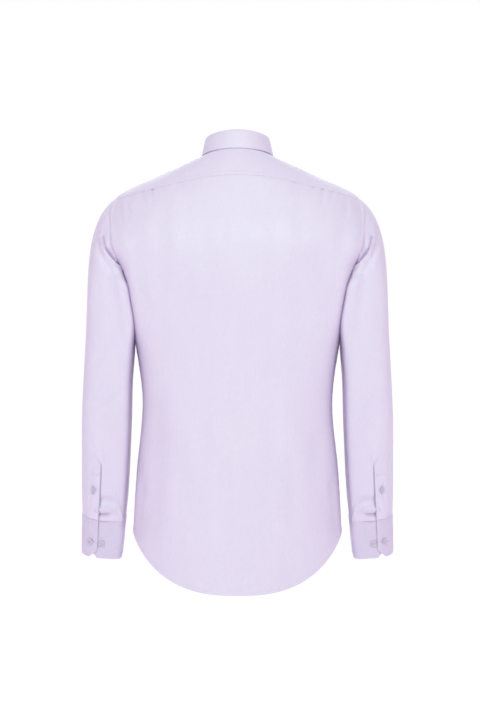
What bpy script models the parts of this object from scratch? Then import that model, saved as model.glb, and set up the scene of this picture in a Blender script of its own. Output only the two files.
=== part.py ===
"""A long sleeve dress shirt, filled out as if worn, with nobody in it.

Every piece of cloth is its own wall, cut and placed as the sewn shirt has it: back, yoke, two
fronts, collar stand and leaf, two sleeves with gauntlets and cuffs, and the buttons.

The frame: +Z up, the shirt faces -Y, and +X is the wearer's left. The origin is the middle
of the neck opening, level with the tops of the shoulders where they carry the shirt.
Sizes and tables are in millimetres and degrees, and MM turns them into Blender's metres.

The body is one smooth surface over a stack of rings. A place on it is (around, level): around
is 0 at the wearer's left side, 90 at the centre back and -90 at the centre front, and level is
a row of TORSO_RINGS, counted from the bottom, with any fraction between two rows.
"""

import bmesh
import bpy
import numpy as np
from mathutils import Vector

MM = 0.001

# ---------------------------------------------------------------- driving sizes

CLOTH = 1.5  # wall of the body and the sleeves
STIFF = 2.4  # wall of the collar and the cuffs, which are layered
SEAM_GAP = 0.3
LAP_GAP = 0.6  # between two layers that lie on each other

SIDE_HEM_Z = -652.0
BACK_HEM_Z = -751.0
FRONT_HEM_Z = -735.0
HEM_CURVE = 1.29  # 1 is a plain cosine from the tail to the side, more is a fuller tail

FRONT_LAP = 15.0  # each front passes the centre line by this much
LAP_EASE = 30.0  # the under layer takes this width to come up to the surface

BUTTON_RADIUS = 5.5
BUTTON_THICK = 2.2
SMALL_BUTTON_RADIUS = 4.7
BUTTON_SIDES = 12
BUTTON_GAP = 0.5  # above the flat faces that stand for the round cloth
FRONT_BUTTON_TOP_Z = -140.0
FRONT_BUTTON_PITCH = 84.0
FRONT_BUTTONS = 6

CUFF_HEIGHT = 66.0
CUFF_PROUD = 1.0  # the cuff stands this far outside the sleeve's end

LILAC = (0.78, 0.73, 0.87, 1.0)
PEARL = (0.62, 0.57, 0.66, 1.0)

# ---------------------------------------------------------------- grid counts

SIDE_ROWS = 14  # from the hem to the armpit
ARMHOLE_ROWS = 10  # from the armpit to the yoke, front and back alike
YOKE_ROWS = 4  # across the top of the armhole
YOKE_SEAM_COLUMNS = 4  # along one front yoke seam
NECK_COLUMNS = 14  # along the yoke's part of the neck
LEAF_FRONT_COLUMNS = 6  # along a front's neck under the leaf
LAP_COLUMNS = 2  # from the leaf's end to the free edge of the lap
BACK_COLUMNS = 2 * YOKE_SEAM_COLUMNS + NECK_COLUMNS
FRONT_COLUMNS = YOKE_SEAM_COLUMNS + LEAF_FRONT_COLUMNS + LAP_COLUMNS
HEAD_ROWS = 7  # sleeve rows from the armhole to the first arm ring

# ---------------------------------------------------------------- the body's form

# Heights at the side, the back and the front of each ring, and its half width and depths.
# The rings over the shoulders tip down to the back and the front.
TORSO_RINGS = (
    # side_z, back_z, front_z, half_width, back_depth, front_depth
    (-780.0, -780.0, -780.0, 183.0, 140.0, 128.0),  # below the tail
    (-660.0, -660.0, -660.0, 182.0, 138.0, 128.0),  # side hem
    (-545.0, -545.0, -545.0, 175.5, 129.0, 121.0),  # seat
    (-425.0, -425.0, -425.0, 165.5, 117.0, 115.0),  # waist
    (-310.0, -310.0, -312.0, 180.6, 119.0, 124.0),  # ribs
    (-205.0, -205.0, -218.0, 199.5, 125.0, 131.0),  # chest, at the armpit
    (-140.0, -140.0, -175.0, 232.0, 122.0, 129.0),  # middle of the armhole
    (-73.0, -85.0, -138.0, 215.0, 106.0, 120.0),  # shoulder end
    (-32.0, -33.0, -106.0, 137.0, 86.0, 98.0),  # middle of the shoulder
    (0.5, 17.0, -76.0, 60.5, 60.0, 67.0),  # neck seam
)
FULLNESS = 0.10  # how far the rings bulge past an ellipse at their corners
ARMPIT_LEVEL = 5.0
FREE_EDGE_LEVEL = 4.9  # where the row from the armpit meets the front's free edge
NECK_LEVEL = 9.0

# Seams on the body, as places (around, level).
BACK_ARMHOLE = ((0, 5.0), (10, 5.1), (17, 5.34), (22, 5.7), (26, 6.1), (25, 6.5), (20, 7.0))
ARMHOLE_TOP = ((20, 7.0), (8, 7.06), (-3, 7.08), (-14, 7.05))
FRONT_ARMHOLE = ((0, 5.0), (-12, 5.12), (-21, 5.45), (-28, 5.85), (-30, 6.3), (-24, 6.75), (-14, 7.05))
BACK_YOKE_SEAM = ((20, 7.0), (31, 7.15), (41, 7.34), (52, 7.56), (64, 7.77), (77, 7.9), (90, 7.94))
FRONT_YOKE_SEAM = ((-14, 7.05), (-17, 7.5), (-21, 8.1), (-26, 9.0))
NECK_CORNER = -26.0  # where the front yoke seam meets the neck

# ---------------------------------------------------------------- the sleeve's form

# A ring's height, how far its outer side lies above its middle and its back below it, its
# inner and outer sides, its middle in depth and its half depth.
SLEEVE_RINGS = (
    # z, outer_up, back_down, inner_x, outer_x, middle_y, half_depth
    (-235.0, 0.0, 0.0, 196.2, 261.6, 0.0, 74.0),  # just under the armpit
    (-312.0, 0.0, 0.0, 182.4, 264.6, -2.0, 70.0),  # upper arm
    (-388.0, 0.5, 0.5, 184.2, 268.6, -4.0, 64.0),
    (-458.0, 1.0, 1.0, 186.4, 271.8, -7.0, 58.0),  # elbow
    (-533.0, 2.0, 2.5, 190.2, 272.8, -12.0, 51.0),
    (-580.0, 3.0, 4.0, 193.4, 273.0, -17.0, 47.0),
    (-627.0, 4.5, 5.5, 197.6, 272.6, -22.0, 42.0),  # cuff seam
)
SLEEVE_STEPS = 3  # rows from one ring to the next
CUFF_END = (-627.0 - CUFF_HEIGHT, 3.0, 6.5, 204.2, 273.6, -28.0, 39.0)

# Columns round the sleeve, from the armpit over the back and the top to the front. 0 is the
# outer side, 90 the back. The slit and the gauntlet's edges fall on columns.
GAUNTLET_EDGE = 79.0
SLIT = 71.0
GAUNTLET_MIDDLE = 58.5
GAUNTLET_OUTSIDE = 46.0
BACK_TURNS = (180.0, 165.0, 150.0, 135.0, 120.0, 105.0, 92.0, GAUNTLET_EDGE, SLIT, GAUNTLET_MIDDLE,
              GAUNTLET_OUTSIDE)
TOP_TURNS = (31.0, 13.0, -6.0, -25.0)
FRONT_TURNS = (-40.0, -55.0, -70.5, -86.0, -101.5, -117.0, -132.5, -148.0, -164.0)
SLIT_WIDTH = 1.0
SLIT_TOP_ROW = HEAD_ROWS + 4 * SLEEVE_STEPS
GAUNTLET_LIFT = 0.5

# The cuff's lap, in the sleeve's turns: the upper end stops at the gauntlet's edge, and the
# under end sinks below it between two turns and runs on.
CUFF_SINKS_FROM, CUFF_SINKS_TO = 120.0, 92.0
CUFF_LAP_TURNS = (105.0, CUFF_SINKS_TO, GAUNTLET_EDGE, SLIT, GAUNTLET_MIDDLE, 52.0)
CUFF_CUT_RUN, CUFF_CUT_RISE = 16.0, 13.5  # the cut corners of both ends
CUFF_ROWS = 3
CUFF_BUTTON_TURNS = (57.5, 90.5)
CUFF_BUTTON_DROP = 41.0
GAUNTLET_BUTTON_Z = -579.0

# ---------------------------------------------------------------- the collar's form

# The stand's top edge, where the leaf folds over it.
FOLD_SIDE_Z, FOLD_BACK_Z, FOLD_FRONT_Z = 32.0, 41.5, -47.0
FOLD_HALF_WIDTH, FOLD_BACK_DEPTH, FOLD_FRONT_DEPTH = 51.5, 53.0, 61.0
STAND_ROWS = 2
ROLL_RADIUS = 2.7
ROLL_STEPS = 4
FALL_STEPS = 5
LEAF_REST = 3.2  # the leaf's middle lies this far above the body

# The leaf from its point at the front to the centre back: where it folds, and where on the
# body its edge comes down.
LEAF_SECTIONS = (
    # fold_around, edge_around, edge_level
    (-86.0, -71.0, 8.02),  # the point
    (-70.0, -60.0, 8.28),
    (-50.0, -44.0, 8.60),
    (-25.0, -22.0, 8.86),
    (0.0, 0.0, 8.97),
    (30.0, 30.0, 8.94),
    (60.0, 60.0, 8.90),
    (90.0, 90.0, 8.89),  # centre back
)
LEAF_END = -86.0  # the leaf stops short of the centre front, for the stand's lap

# ---------------------------------------------------------------- folds

# Each fold is a soft ridge, or a trough where its rise is negative, along a line seen from
# the back (face 1) or from the front (face -1), on both halves of the shirt.
BODY_FOLDS = (
    # face, start_x, start_z, end_x, end_z, width, rise
    (1, 148.0, -58.0, 148.0, -84.0, 8.0, 1.6),  # ease under the yoke
    (1, 170.0, -610.0, 176.0, -560.0, 9.0, -2.2),  # the side seam draws in over the hem
    (1, 60.0, -390.0, 70.0, -470.0, 26.0, -2.0),  # waist
    (-1, 70.0, -380.0, 88.0, -470.0, 24.0, -2.4),
    (-1, 150.0, -215.0, 95.0, -262.0, 16.0, -3.0),  # drawn from the armpit to the chest
)
SLEEVE_FOLDS = (
    # face, start_x, start_z, end_x, end_z, width, rise
    (1, 236.0, -128.0, 219.0, -168.0, 10.0, -6.5),  # drag from the sleeve head to the armpit
    (1, 219.0, -168.0, 202.0, -186.0, 9.0, -5.5),
    (1, 238.0, -158.0, 218.0, -197.0, 10.0, 4.0),
    (-1, 236.0, -132.0, 214.0, -180.0, 11.0, -5.5),
    (1, 205.0, -430.0, 250.0, -446.0, 10.0, -2.4),  # elbow
    (-1, 210.0, -440.0, 258.0, -424.0, 12.0, -4.0),
    (-1, 204.0, -476.0, 246.0, -468.0, 11.0, -3.2),
    (1, 212.0, -596.0, 209.0, -628.0, 5.0, -2.6),  # pleat at the cuff
)


# ---------------------------------------------------------------- tools

def smooth(rows, at):
    """A curve through evenly numbered rows, read at any fraction of a row (Catmull-Rom)."""
    rows = np.asarray(rows, float)
    at = np.clip(np.asarray(at, float), 0, len(rows) - 1)
    first = np.minimum(at.astype(int), len(rows) - 2)
    t = (at - first)[..., None]
    held = np.concatenate([2 * rows[:1] - rows[1:2], rows, 2 * rows[-1:] - rows[-2:-1]])
    a, b, c, d = (held[first + step] for step in range(4))
    return b + t / 2 * (c - a + t * (2 * a - 5 * b + 4 * c - d + t * (3 * b - a - 3 * c + d)))


def unit(vectors):
    return vectors / np.linalg.norm(vectors, axis=-1, keepdims=True)


def ease(t):
    t = np.clip(t, 0, 1)
    return t * t * (3 - 2 * t)


def even_steps(line, count):
    """count + 1 places at equal distances along a line of places on the body."""
    dense = smooth(line, np.linspace(0, len(line) - 1, 40 * len(line)))
    steps = np.linalg.norm(np.diff(torso(dense[:, 0], dense[:, 1]), axis=0), axis=1)
    run = np.concatenate([[0], np.cumsum(steps)])
    wanted = np.linspace(0, run[-1], count + 1)
    return np.stack([np.interp(wanted, run, dense[:, k]) for k in range(2)], axis=1)


def mirrored_places(places):
    """The same places on the other half of the shirt."""
    return np.stack([180.0 - places[..., 0], places[..., 1]], axis=-1)


def grid_normals(points, closed=False):
    """Unit normals of a grid of points, from the differences between its rows and columns."""
    down = np.gradient(points, axis=0)
    if closed:
        across = np.roll(points, -1, axis=1) - np.roll(points, 1, axis=1)
    else:
        across = np.gradient(points, axis=1)
    return unit(np.cross(across, down))


def fold_rise(points, normals, folds):
    """How far each point stands out or in for the folds that pass it."""
    rise = np.zeros(points.shape[:-1])
    mirrored = np.abs(points[..., 0])
    for face, start_x, start_z, end_x, end_z, width, height in folds:
        start = np.array([start_x, start_z])
        line = np.array([end_x, end_z]) - start
        seen = np.stack([mirrored, points[..., 2]], axis=-1) - start
        along = np.clip(seen @ line / (line @ line), 0, 1)
        away = np.linalg.norm(seen - along[..., None] * line, axis=-1)
        facing = ease(face * normals[..., 1] * 2)
        rise += height * facing * np.exp(-(away / width) ** 2)
    return rise


def patch(bottom, top, left, right, bottom_fade=2, top_fade=3):
    """Places filling four edges (a Coons patch); the edges run left to right and upwards.

    The rows go straight from the left edge to the right one, plus what the bottom and the top
    edge bow away from a straight line. A larger fade keeps a bow closer to its own edge.
    """
    s = np.linspace(0, 1, len(bottom))[:, None]
    t = np.linspace(0, 1, len(left))[:, None, None]
    bottom_bow = bottom - ((1 - s) * bottom[0] + s * bottom[-1])
    top_bow = top - ((1 - s) * top[0] + s * top[-1])
    across = (1 - s) * left[:, None] + s * right[:, None]
    return across + (1 - t) ** bottom_fade * bottom_bow + t**top_fade * top_bow


def drawn_in(points, rows=(0, -1), columns=(0, -1)):
    """The grid with its edges drawn in by half of the seam gap."""
    drawn = points.copy()
    for edge in rows:
        inward = 1 if edge == 0 else -2
        drawn[edge] += unit(points[inward] - points[edge]) * SEAM_GAP / 2
    for edge in columns:
        inward = 1 if edge == 0 else -2
        drawn[:, edge] += unit(points[:, inward] - points[:, edge]) * SEAM_GAP / 2
    return drawn


def grid_faces(ids):
    """The four-sided faces of a grid of point numbers."""
    return [
        (ids[r][c], ids[r][c + 1], ids[r + 1][c + 1], ids[r + 1][c])
        for r in range(len(ids) - 1)
        for c in range(len(ids[0]) - 1)
    ]


def make_material(name, colour, roughness):
    material = bpy.data.materials.new(name)
    material.use_nodes = True
    shader = material.node_tree.nodes["Principled BSDF"]
    shader.inputs["Base Color"].default_value = colour
    shader.inputs["Roughness"].default_value = roughness
    shader.inputs["Metallic"].default_value = 0.0
    return material


def make_cloth(name, outer, inner, faces, mirror=False):
    """One closed wall: an outer and an inner skin of the same faces, joined round every edge.

    The two skins are given, and not thickened piece by piece, so that the cut edges of two
    pieces lie in one shared plane at their seam and the walls never cross there.
    """
    side = np.array([-1.0 if mirror else 1.0, 1.0, 1.0]) * MM
    outer = outer.reshape(-1, 3) * side
    inner = inner.reshape(-1, 3) * side
    mesh = bpy.data.meshes.new(name)
    build = bmesh.new()
    skins = [[build.verts.new(point) for point in skin] for skin in (outer, inner)]
    for face in faces:
        corners = list(dict.fromkeys(face))
        build.faces.new([skins[0][k] for k in corners])
        build.faces.new([skins[1][k] for k in reversed(corners)])
    partner = dict(zip(skins[0], skins[1]))
    rims = [edge for edge in build.edges if edge.is_boundary and edge.verts[0] in partner]
    for edge in rims:
        a, b = edge.verts
        build.faces.new((a, b, partner[b], partner[a]))
    loose = [vertex for vertex in build.verts if not vertex.link_faces]
    bmesh.ops.delete(build, geom=loose, context="VERTS")
    bmesh.ops.recalc_face_normals(build, faces=build.faces)
    for face in build.faces:
        face.smooth = True
    build.to_mesh(mesh)
    build.free()
    mesh.set_sharp_from_angle(angle=np.radians(50))
    mesh.materials.append(make_material(name, LILAC, 0.85))
    piece = bpy.data.objects.new(name, mesh)
    SHIRT.objects.link(piece)
    return piece


# ---------------------------------------------------------------- the body's surface

def torso(around, level):
    """The plain body surface at a place."""
    side_z, back_z, front_z, half_width, back_depth, front_depth = np.moveaxis(
        smooth(TORSO_RINGS, level), -1, 0
    )
    cos, sin = np.cos(np.radians(around)), np.sin(np.radians(around))
    behind = sin > 0
    end_z = np.where(behind, back_z, front_z)
    depth = np.where(behind, back_depth, front_depth)
    x = half_width * cos * (1 + FULLNESS * sin**2)
    y = depth * sin * (1 + FULLNESS * cos**2)
    z = side_z * cos**2 + end_z * sin**2
    return np.stack([x, y, z], axis=-1)


def torso_normal(around, level):
    step_around, step_level = 0.5, 0.01
    low = np.minimum(level, NECK_LEVEL - step_level)
    turn = torso(around + step_around, low) - torso(around - step_around, low)
    rise = torso(around, low + step_level) - torso(around, low - step_level)
    return unit(np.cross(turn, rise))


def body(places):
    """Points of the folded body surface at a grid of places, and their normals."""
    around, level = places[..., 0], places[..., 1]
    points = torso(around, level)
    normals = torso_normal(around, level)
    rise = fold_rise(points, normals, BODY_FOLDS)
    return points + rise[..., None] * normals, normals


def level_at(z, column=0):
    """The level at which a height column of TORSO_RINGS has this value."""
    levels = np.linspace(0, NECK_LEVEL, 900)
    return np.interp(z, smooth(TORSO_RINGS, levels)[:, column], levels)


def hem_places(arounds):
    """The curved hem: low at the centre back and front, high at the sides."""
    share = np.abs(np.abs(arounds) - 90) / 90
    low = np.where(arounds > 0, BACK_HEM_Z, FRONT_HEM_Z)
    lift = (1 - np.cos(np.pi * share**HEM_CURVE)) / 2
    return np.stack([arounds, level_at(low + (SIDE_HEM_Z - low) * lift)], axis=-1)


def lap_edge(levels):
    """The left front's free edge: places past the centre line by the lap."""
    half_width = smooth(TORSO_RINGS, levels)[:, 3] * (1 + FULLNESS)
    return np.stack([-90 - np.degrees(np.arcsin(FRONT_LAP / half_width)), levels], axis=-1)


# ---------------------------------------------------------------- seams

def armhole_places(armhole):
    return even_steps(armhole, ARMHOLE_ROWS)


def side_edge(armhole):
    """The side seam from the hem up, and then the armhole up to the yoke."""
    hem = level_at(SIDE_HEM_Z)
    seam = even_steps(((0, hem), (0, (hem + ARMPIT_LEVEL) / 2), (0, ARMPIT_LEVEL)), SIDE_ROWS)
    return np.concatenate([seam, armhole_places(armhole)[1:]])


def front_neck():
    """The front's neck seam from the yoke to the free edge of the lap."""
    under_leaf = np.linspace(NECK_CORNER, LEAF_END, LEAF_FRONT_COLUMNS + 1)
    past_centre = -180 - LEAF_END
    arounds = np.append(under_leaf, [past_centre, lap_edge(np.array([NECK_LEVEL]))[0, 0]])
    return np.stack([arounds, np.full_like(arounds, NECK_LEVEL)], axis=-1)


def yoke_neck():
    arounds = np.linspace(NECK_CORNER, 180 - NECK_CORNER, NECK_COLUMNS + 1)
    return np.stack([arounds, np.full_like(arounds, NECK_LEVEL)], axis=-1)


def back_yoke_seam():
    half = even_steps(BACK_YOKE_SEAM, BACK_COLUMNS // 2)
    return np.concatenate([half, mirrored_places(half)[::-1][1:]])


def sleeve_seam():
    """The armhole all round, one place for each column of the sleeve."""
    back = armhole_places(BACK_ARMHOLE)
    top = even_steps(ARMHOLE_TOP, YOKE_ROWS)
    front = armhole_places(FRONT_ARMHOLE)[::-1]
    return np.concatenate([back, top[1:], front[1:-1]])


# ---------------------------------------------------------------- sleeves

TURNS = BACK_TURNS + TOP_TURNS + FRONT_TURNS

# The sleeve seam's places that the back, the yoke and a front have, each from the bottom up or
# from the back forwards.
BACK_PLACES = list(range(ARMHOLE_ROWS + 1))
TOP_PLACES = list(range(ARMHOLE_ROWS, ARMHOLE_ROWS + YOKE_ROWS + 1))
FRONT_PLACES = [0] + list(range(len(TURNS) - 1, TOP_PLACES[-1] - 1, -1))


def arm_oval(turns, ring):
    """Points round one ring of the arm, or one ring for each turn."""
    z, outer_up, back_down, inner_x, outer_x, middle_y, half_depth = ring
    cos, sin = np.cos(np.radians(turns)), np.sin(np.radians(turns))
    x = (inner_x + outer_x) / 2 + (outer_x - inner_x) / 2 * cos
    return np.stack([x, middle_y + half_depth * sin, z + outer_up * cos - back_down * sin], axis=-1)


def sleeve_ring(turns, rings):
    """Points of the sleeve's plain surface, on rings of SLEEVE_RINGS or between them."""
    return arm_oval(turns, np.moveaxis(smooth(SLEEVE_RINGS, rings), -1, 0))


def sleeve_head(seam):
    """Rows from the armhole to the first ring: each column leaves the shoulder outwards and
    bends down over the top of the arm."""
    turns = np.array(TURNS)
    cos, sin = np.cos(np.radians(turns)), np.sin(np.radians(turns))
    outwards = 0.48 + 0.34 * cos
    leave = unit(np.stack([outwards, 0.15 * sin, -np.sqrt(1 - outwards**2)], axis=-1))
    first = sleeve_ring(turns, np.zeros_like(turns))
    arrive = unit(sleeve_ring(turns, np.full_like(turns, 0.1)) - first)
    reach = np.linalg.norm(first - seam, axis=-1, keepdims=True)
    t = np.linspace(0, 1, HEAD_ROWS + 1)[:, None, None]
    return (
        (2 * t**3 - 3 * t**2 + 1) * seam
        + (t**3 - 2 * t**2 + t) * leave * reach
        + (3 * t**2 - 2 * t**3) * first
        + (t**3 - t**2) * arrive * reach
    )


def sleeve_grid():
    """The left sleeve's outer skin and its normals, from the armhole to the cuff seam."""
    seam, _ = body(sleeve_seam())
    rings = np.linspace(0, len(SLEEVE_RINGS) - 1, SLEEVE_STEPS * (len(SLEEVE_RINGS) - 1) + 1)
    turns, rings = np.meshgrid(np.array(TURNS), rings[1:])
    points = np.concatenate([sleeve_head(seam), sleeve_ring(turns, rings)])
    normals = grid_normals(points, closed=True)
    fade = ease(np.arange(len(points)) / 2)[:, None]
    rise = fold_rise(points, normals, SLEEVE_FOLDS) * fade
    points = points + rise[..., None] * normals
    return points, grid_normals(points, closed=True)


def make_sleeve(name, points, normals, joint, mirror):
    """The tube, with a slit up from the cuff seam where the gauntlet covers it."""
    drawn = drawn_in(points, rows=(-1,), columns=())
    drawn[0] += joint["parting"]
    normals = np.concatenate([joint["sleeve_facing"][None], normals[1:]])
    walls = []
    slit = TURNS.index(SLIT)
    order = list(range(slit, len(TURNS))) + list(range(slit + 1))
    for skin in (drawn, drawn - CLOTH * normals):
        opened = skin[:, order]
        split = slice(SLIT_TOP_ROW + 1, None)
        for edge, inward in ((0, 1), (-1, -2)):
            pull = unit(opened[split, inward] - opened[split, edge])
            opened[split, edge] += pull * SLIT_WIDTH / 2
        walls.append(opened)
    rows, columns = walls[0].shape[:2]
    ids = np.arange(rows * columns).reshape(rows, columns)
    ids[: SLIT_TOP_ROW + 1, -1] = ids[: SLIT_TOP_ROW + 1, 0]
    make_cloth(name, walls[0], walls[1], grid_faces(ids.tolist()), mirror)


def make_gauntlet(name, points, normals, mirror):
    """The placket strip on four of the sleeve's columns, ending in a point above the slit."""
    edge, slit, middle, outside = (
        TURNS.index(turn) for turn in (GAUNTLET_EDGE, SLIT, GAUNTLET_MIDDLE, GAUNTLET_OUTSIDE)
    )
    tip_turn = (SLIT + GAUNTLET_MIDDLE) / 2
    rise_at_slit = (GAUNTLET_EDGE - SLIT) / (GAUNTLET_EDGE - tip_turn)
    rise_at_middle = (GAUNTLET_MIDDLE - GAUNTLET_OUTSIDE) / (tip_turn - GAUNTLET_OUTSIDE)
    drawn = drawn_in(points, rows=(-1,), columns=())
    skins = []
    for lift in (GAUNTLET_LIFT + CLOTH, GAUNTLET_LIFT):
        lifted = drawn + lift * normals
        strip = lifted[SLIT_TOP_ROW:, edge : outside + 1]
        point = [
            read_grid(lifted, SLIT_TOP_ROW - rise_at_slit, slit),
            read_grid(lifted, SLIT_TOP_ROW - 1, (slit + middle) / 2),
            read_grid(lifted, SLIT_TOP_ROW - rise_at_middle, middle),
        ]
        skins.append(np.concatenate([strip.reshape(-1, 3), point]))
    rows, columns = strip.shape[:2]
    ids = np.arange(rows * columns).reshape(rows, columns)
    left, tip, right = rows * columns + np.arange(3)
    crown = [
        (ids[0, 1], ids[0, 0], left),
        (ids[0, 2], ids[0, 1], left, tip, right),
        (ids[0, 3], ids[0, 2], right),
    ]
    make_cloth(name, *skins, grid_faces(ids.tolist()) + crown, mirror)


# ---------------------------------------------------------------- cuffs

def cuff_turns():
    """The cuff's columns from its upper end, once round, and on under itself."""
    start = TURNS.index(GAUNTLET_EDGE)
    lap_start = TURNS.index(CUFF_LAP_TURNS[0])
    once_round = TURNS[start:] + tuple(turn - 360 for turn in TURNS[:lap_start])
    return np.array(once_round + tuple(turn - 360 for turn in CUFF_LAP_TURNS))


def cuff_grid():
    """The left cuff's outer skin and its normals, from the sleeve seam down."""
    turns = cuff_turns()
    top = sleeve_ring(turns, np.full_like(turns, len(SLEEVE_RINGS) - 1))
    end = arm_oval(turns, CUFF_END)
    run = np.concatenate([[0], np.cumsum(np.linalg.norm(np.diff(end, axis=0), axis=1))])
    from_end = np.minimum(run, run[-1] - run)
    cut_share = np.maximum(1 - from_end / CUFF_CUT_RUN, 0)
    cut = 1 - cut_share * CUFF_CUT_RISE / CUFF_HEIGHT
    drop = np.linspace(0, 1, CUFF_ROWS + 1)[:, None] * cut
    points = top + (end - top) * drop[..., None]
    normals = grid_normals(points)
    under = ease((CUFF_SINKS_FROM - 360 - turns) / (CUFF_SINKS_FROM - CUFF_SINKS_TO))
    sink = CUFF_PROUD - under * (STIFF + LAP_GAP)
    return points + sink[:, None] * normals, normals


def make_cuff(name, points, normals, mirror):
    drawn = drawn_in(points, rows=(0,), columns=())
    rows, columns = points.shape[:2]
    faces = grid_faces(np.arange(rows * columns).reshape(rows, columns).tolist())
    make_cloth(name, drawn, drawn - STIFF * normals, faces, mirror)


# ---------------------------------------------------------------- collar

def fold_ring(arounds):
    """The stand's top edge."""
    cos, sin = np.cos(np.radians(arounds)), np.sin(np.radians(arounds))
    behind = sin > 0
    end_z = np.where(behind, FOLD_BACK_Z, FOLD_FRONT_Z)
    depth = np.where(behind, FOLD_BACK_DEPTH, FOLD_FRONT_DEPTH)
    x = FOLD_HALF_WIDTH * cos * (1 + FULLNESS * sin**2)
    y = depth * sin * (1 + FULLNESS * cos**2)
    return np.stack([x, y, FOLD_SIDE_Z * cos**2 + end_z * sin**2], axis=-1)


def stand_grid():
    """The band round the neck, on the same columns as the neck seam."""
    left = front_neck()[::-1]
    places = np.concatenate([left, yoke_neck()[1:], mirrored_places(left)[::-1][1:]])
    bottom = torso(places[:, 0], places[:, 1])
    top = fold_ring(places[:, 0])
    t = np.linspace(0, 1, STAND_ROWS + 1)[:, None, None]
    points = (1 - t) * bottom + t * top
    return points, grid_normals(points), places


def sunk_under(points, normals, columns):
    """The right side's lap, let in under the left side's."""
    depth = ease((points[..., 0] + FRONT_LAP + LAP_EASE) / LAP_EASE) * (STIFF + LAP_GAP)
    depth = np.where(columns, depth, 0.0)
    return points - depth[..., None] * normals


def neck_normals(places):
    """Directions shared by the body and the stand at the neck seam."""
    points, stand_normals, stand_places = stand_grid()
    body_normals = torso_normal(stand_places[:, 0], stand_places[:, 1])
    shared = unit(body_normals + stand_normals[0])
    return np.stack(
        [np.interp(places[:, 0], stand_places[:, 0], shared[:, k]) for k in range(3)], axis=-1
    )


def make_stand():
    points, normals, places = stand_grid()
    normals[0] = neck_normals(places)
    right_front = places[:, 0] > 180
    points = drawn_in(sunk_under(points, normals, right_front), columns=())
    rows, columns = points.shape[:2]
    faces = grid_faces(np.arange(rows * columns).reshape(rows, columns).tolist())
    make_cloth("collar_stand", points, points - STIFF * normals, faces)
    return points, normals


def make_leaf():
    """The leaf: up from the stand's top edge, over in a roll, and down outside it."""
    points, normals, places = stand_grid()
    under_leaf = slice(LAP_COLUMNS, -LAP_COLUMNS)
    arounds = places[under_leaf, 0]
    up = unit(points[-1] - points[0])[under_leaf]
    out = normals[-1][under_leaf]
    start = points[-1][under_leaf] - STIFF / 2 * out
    rows = []
    for turn in np.radians(np.linspace(0, 180, ROLL_STEPS + 1)):
        rows.append(start + ROLL_RADIUS * ((1 - np.cos(turn)) * out + np.sin(turn) * up))
    folded = np.where(arounds > 90, 180 - arounds, arounds)
    sections = np.array(LEAF_SECTIONS)
    found = smooth(sections, np.interp(folded, sections[:, 0], np.arange(len(sections))))
    edge, rest = body(found[:, 1:])
    edge = edge + LEAF_REST * rest
    edge[arounds > 90, 0] *= -1
    fall = edge - rows[-1]
    reach = np.linalg.norm(fall, axis=-1, keepdims=True)
    for t in np.linspace(0, 1, FALL_STEPS + 1)[1:]:
        rows.append(
            rows[ROLL_STEPS]
            - (t**3 - 2 * t**2 + t) * up * reach
            + (3 * t**2 - 2 * t**3) * fall
            + (t**3 - t**2) * unit(fall) * reach
        )
    middle = drawn_in(np.stack(rows), rows=(0,), columns=())
    facing = grid_normals(middle)
    facing[0] = -out
    half_wall = STIFF / 2 * facing
    count, columns = middle.shape[:2]
    faces = grid_faces(np.arange(count * columns).reshape(count, columns).tolist())
    make_cloth("collar_leaf", middle + half_wall, middle - half_wall, faces)


# ---------------------------------------------------------------- body panels

def armhole_joint(sleeve_points, sleeve_normals):
    """At each place of the armhole, the directions in which the body's and the sleeve's walls
    thicken, and the half gap that parts them.

    Where the two walls meet in a ridge they share one direction, so that they never cross.
    Where they meet in a valley, as under the arm, each keeps its own and they spread apart.
    """
    places = sleeve_seam()
    seam, body_normals = body(places)
    along = unit(np.roll(seam, -1, axis=0) - np.roll(seam, 1, axis=0))
    into_body = unit(np.cross(along, body_normals))
    into_sleeve = unit(sleeve_points[1] - sleeve_points[0])
    both = body_normals + sleeve_normals[0]
    ridge = np.sum((into_body + into_sleeve) * both, axis=-1, keepdims=True) < 0
    return {
        "parting": unit(into_sleeve - into_body) * SEAM_GAP / 2,
        "body_facing": np.where(ridge, unit(both), body_normals),
        "sleeve_facing": np.where(ridge, unit(both), sleeve_normals[0]),
    }


def fit_to_sleeve(points, normals, rows, places, joint, flip=1.0):
    """Sets the first column's part on the armhole: drawn back by the gap, and thickened as the
    joint says. A flip of -1 does the last column, on the right."""
    side = np.array([flip, 1.0, 1.0])
    column = 0 if flip > 0 else -1
    points[rows, column] -= joint["parting"][places] * side
    normals[rows, column] = joint["body_facing"][places] * side


def make_back(joint):
    left = side_edge(BACK_ARMHOLE)
    bottom = hem_places(np.linspace(0, 180, BACK_COLUMNS + 1))
    places = patch(bottom, back_yoke_seam(), left, mirrored_places(left))
    points, normals = body(places)
    drawn = drawn_in(points, columns=())
    drawn[: SIDE_ROWS + 1] = drawn_in(drawn[: SIDE_ROWS + 1], rows=())
    for flip in (1.0, -1.0):
        fit_to_sleeve(drawn, normals, slice(SIDE_ROWS, None), BACK_PLACES, joint, flip)
    rows, columns = points.shape[:2]
    faces = grid_faces(np.arange(rows * columns).reshape(rows, columns).tolist())
    make_cloth("back", drawn, drawn - CLOTH * normals, faces)


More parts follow.
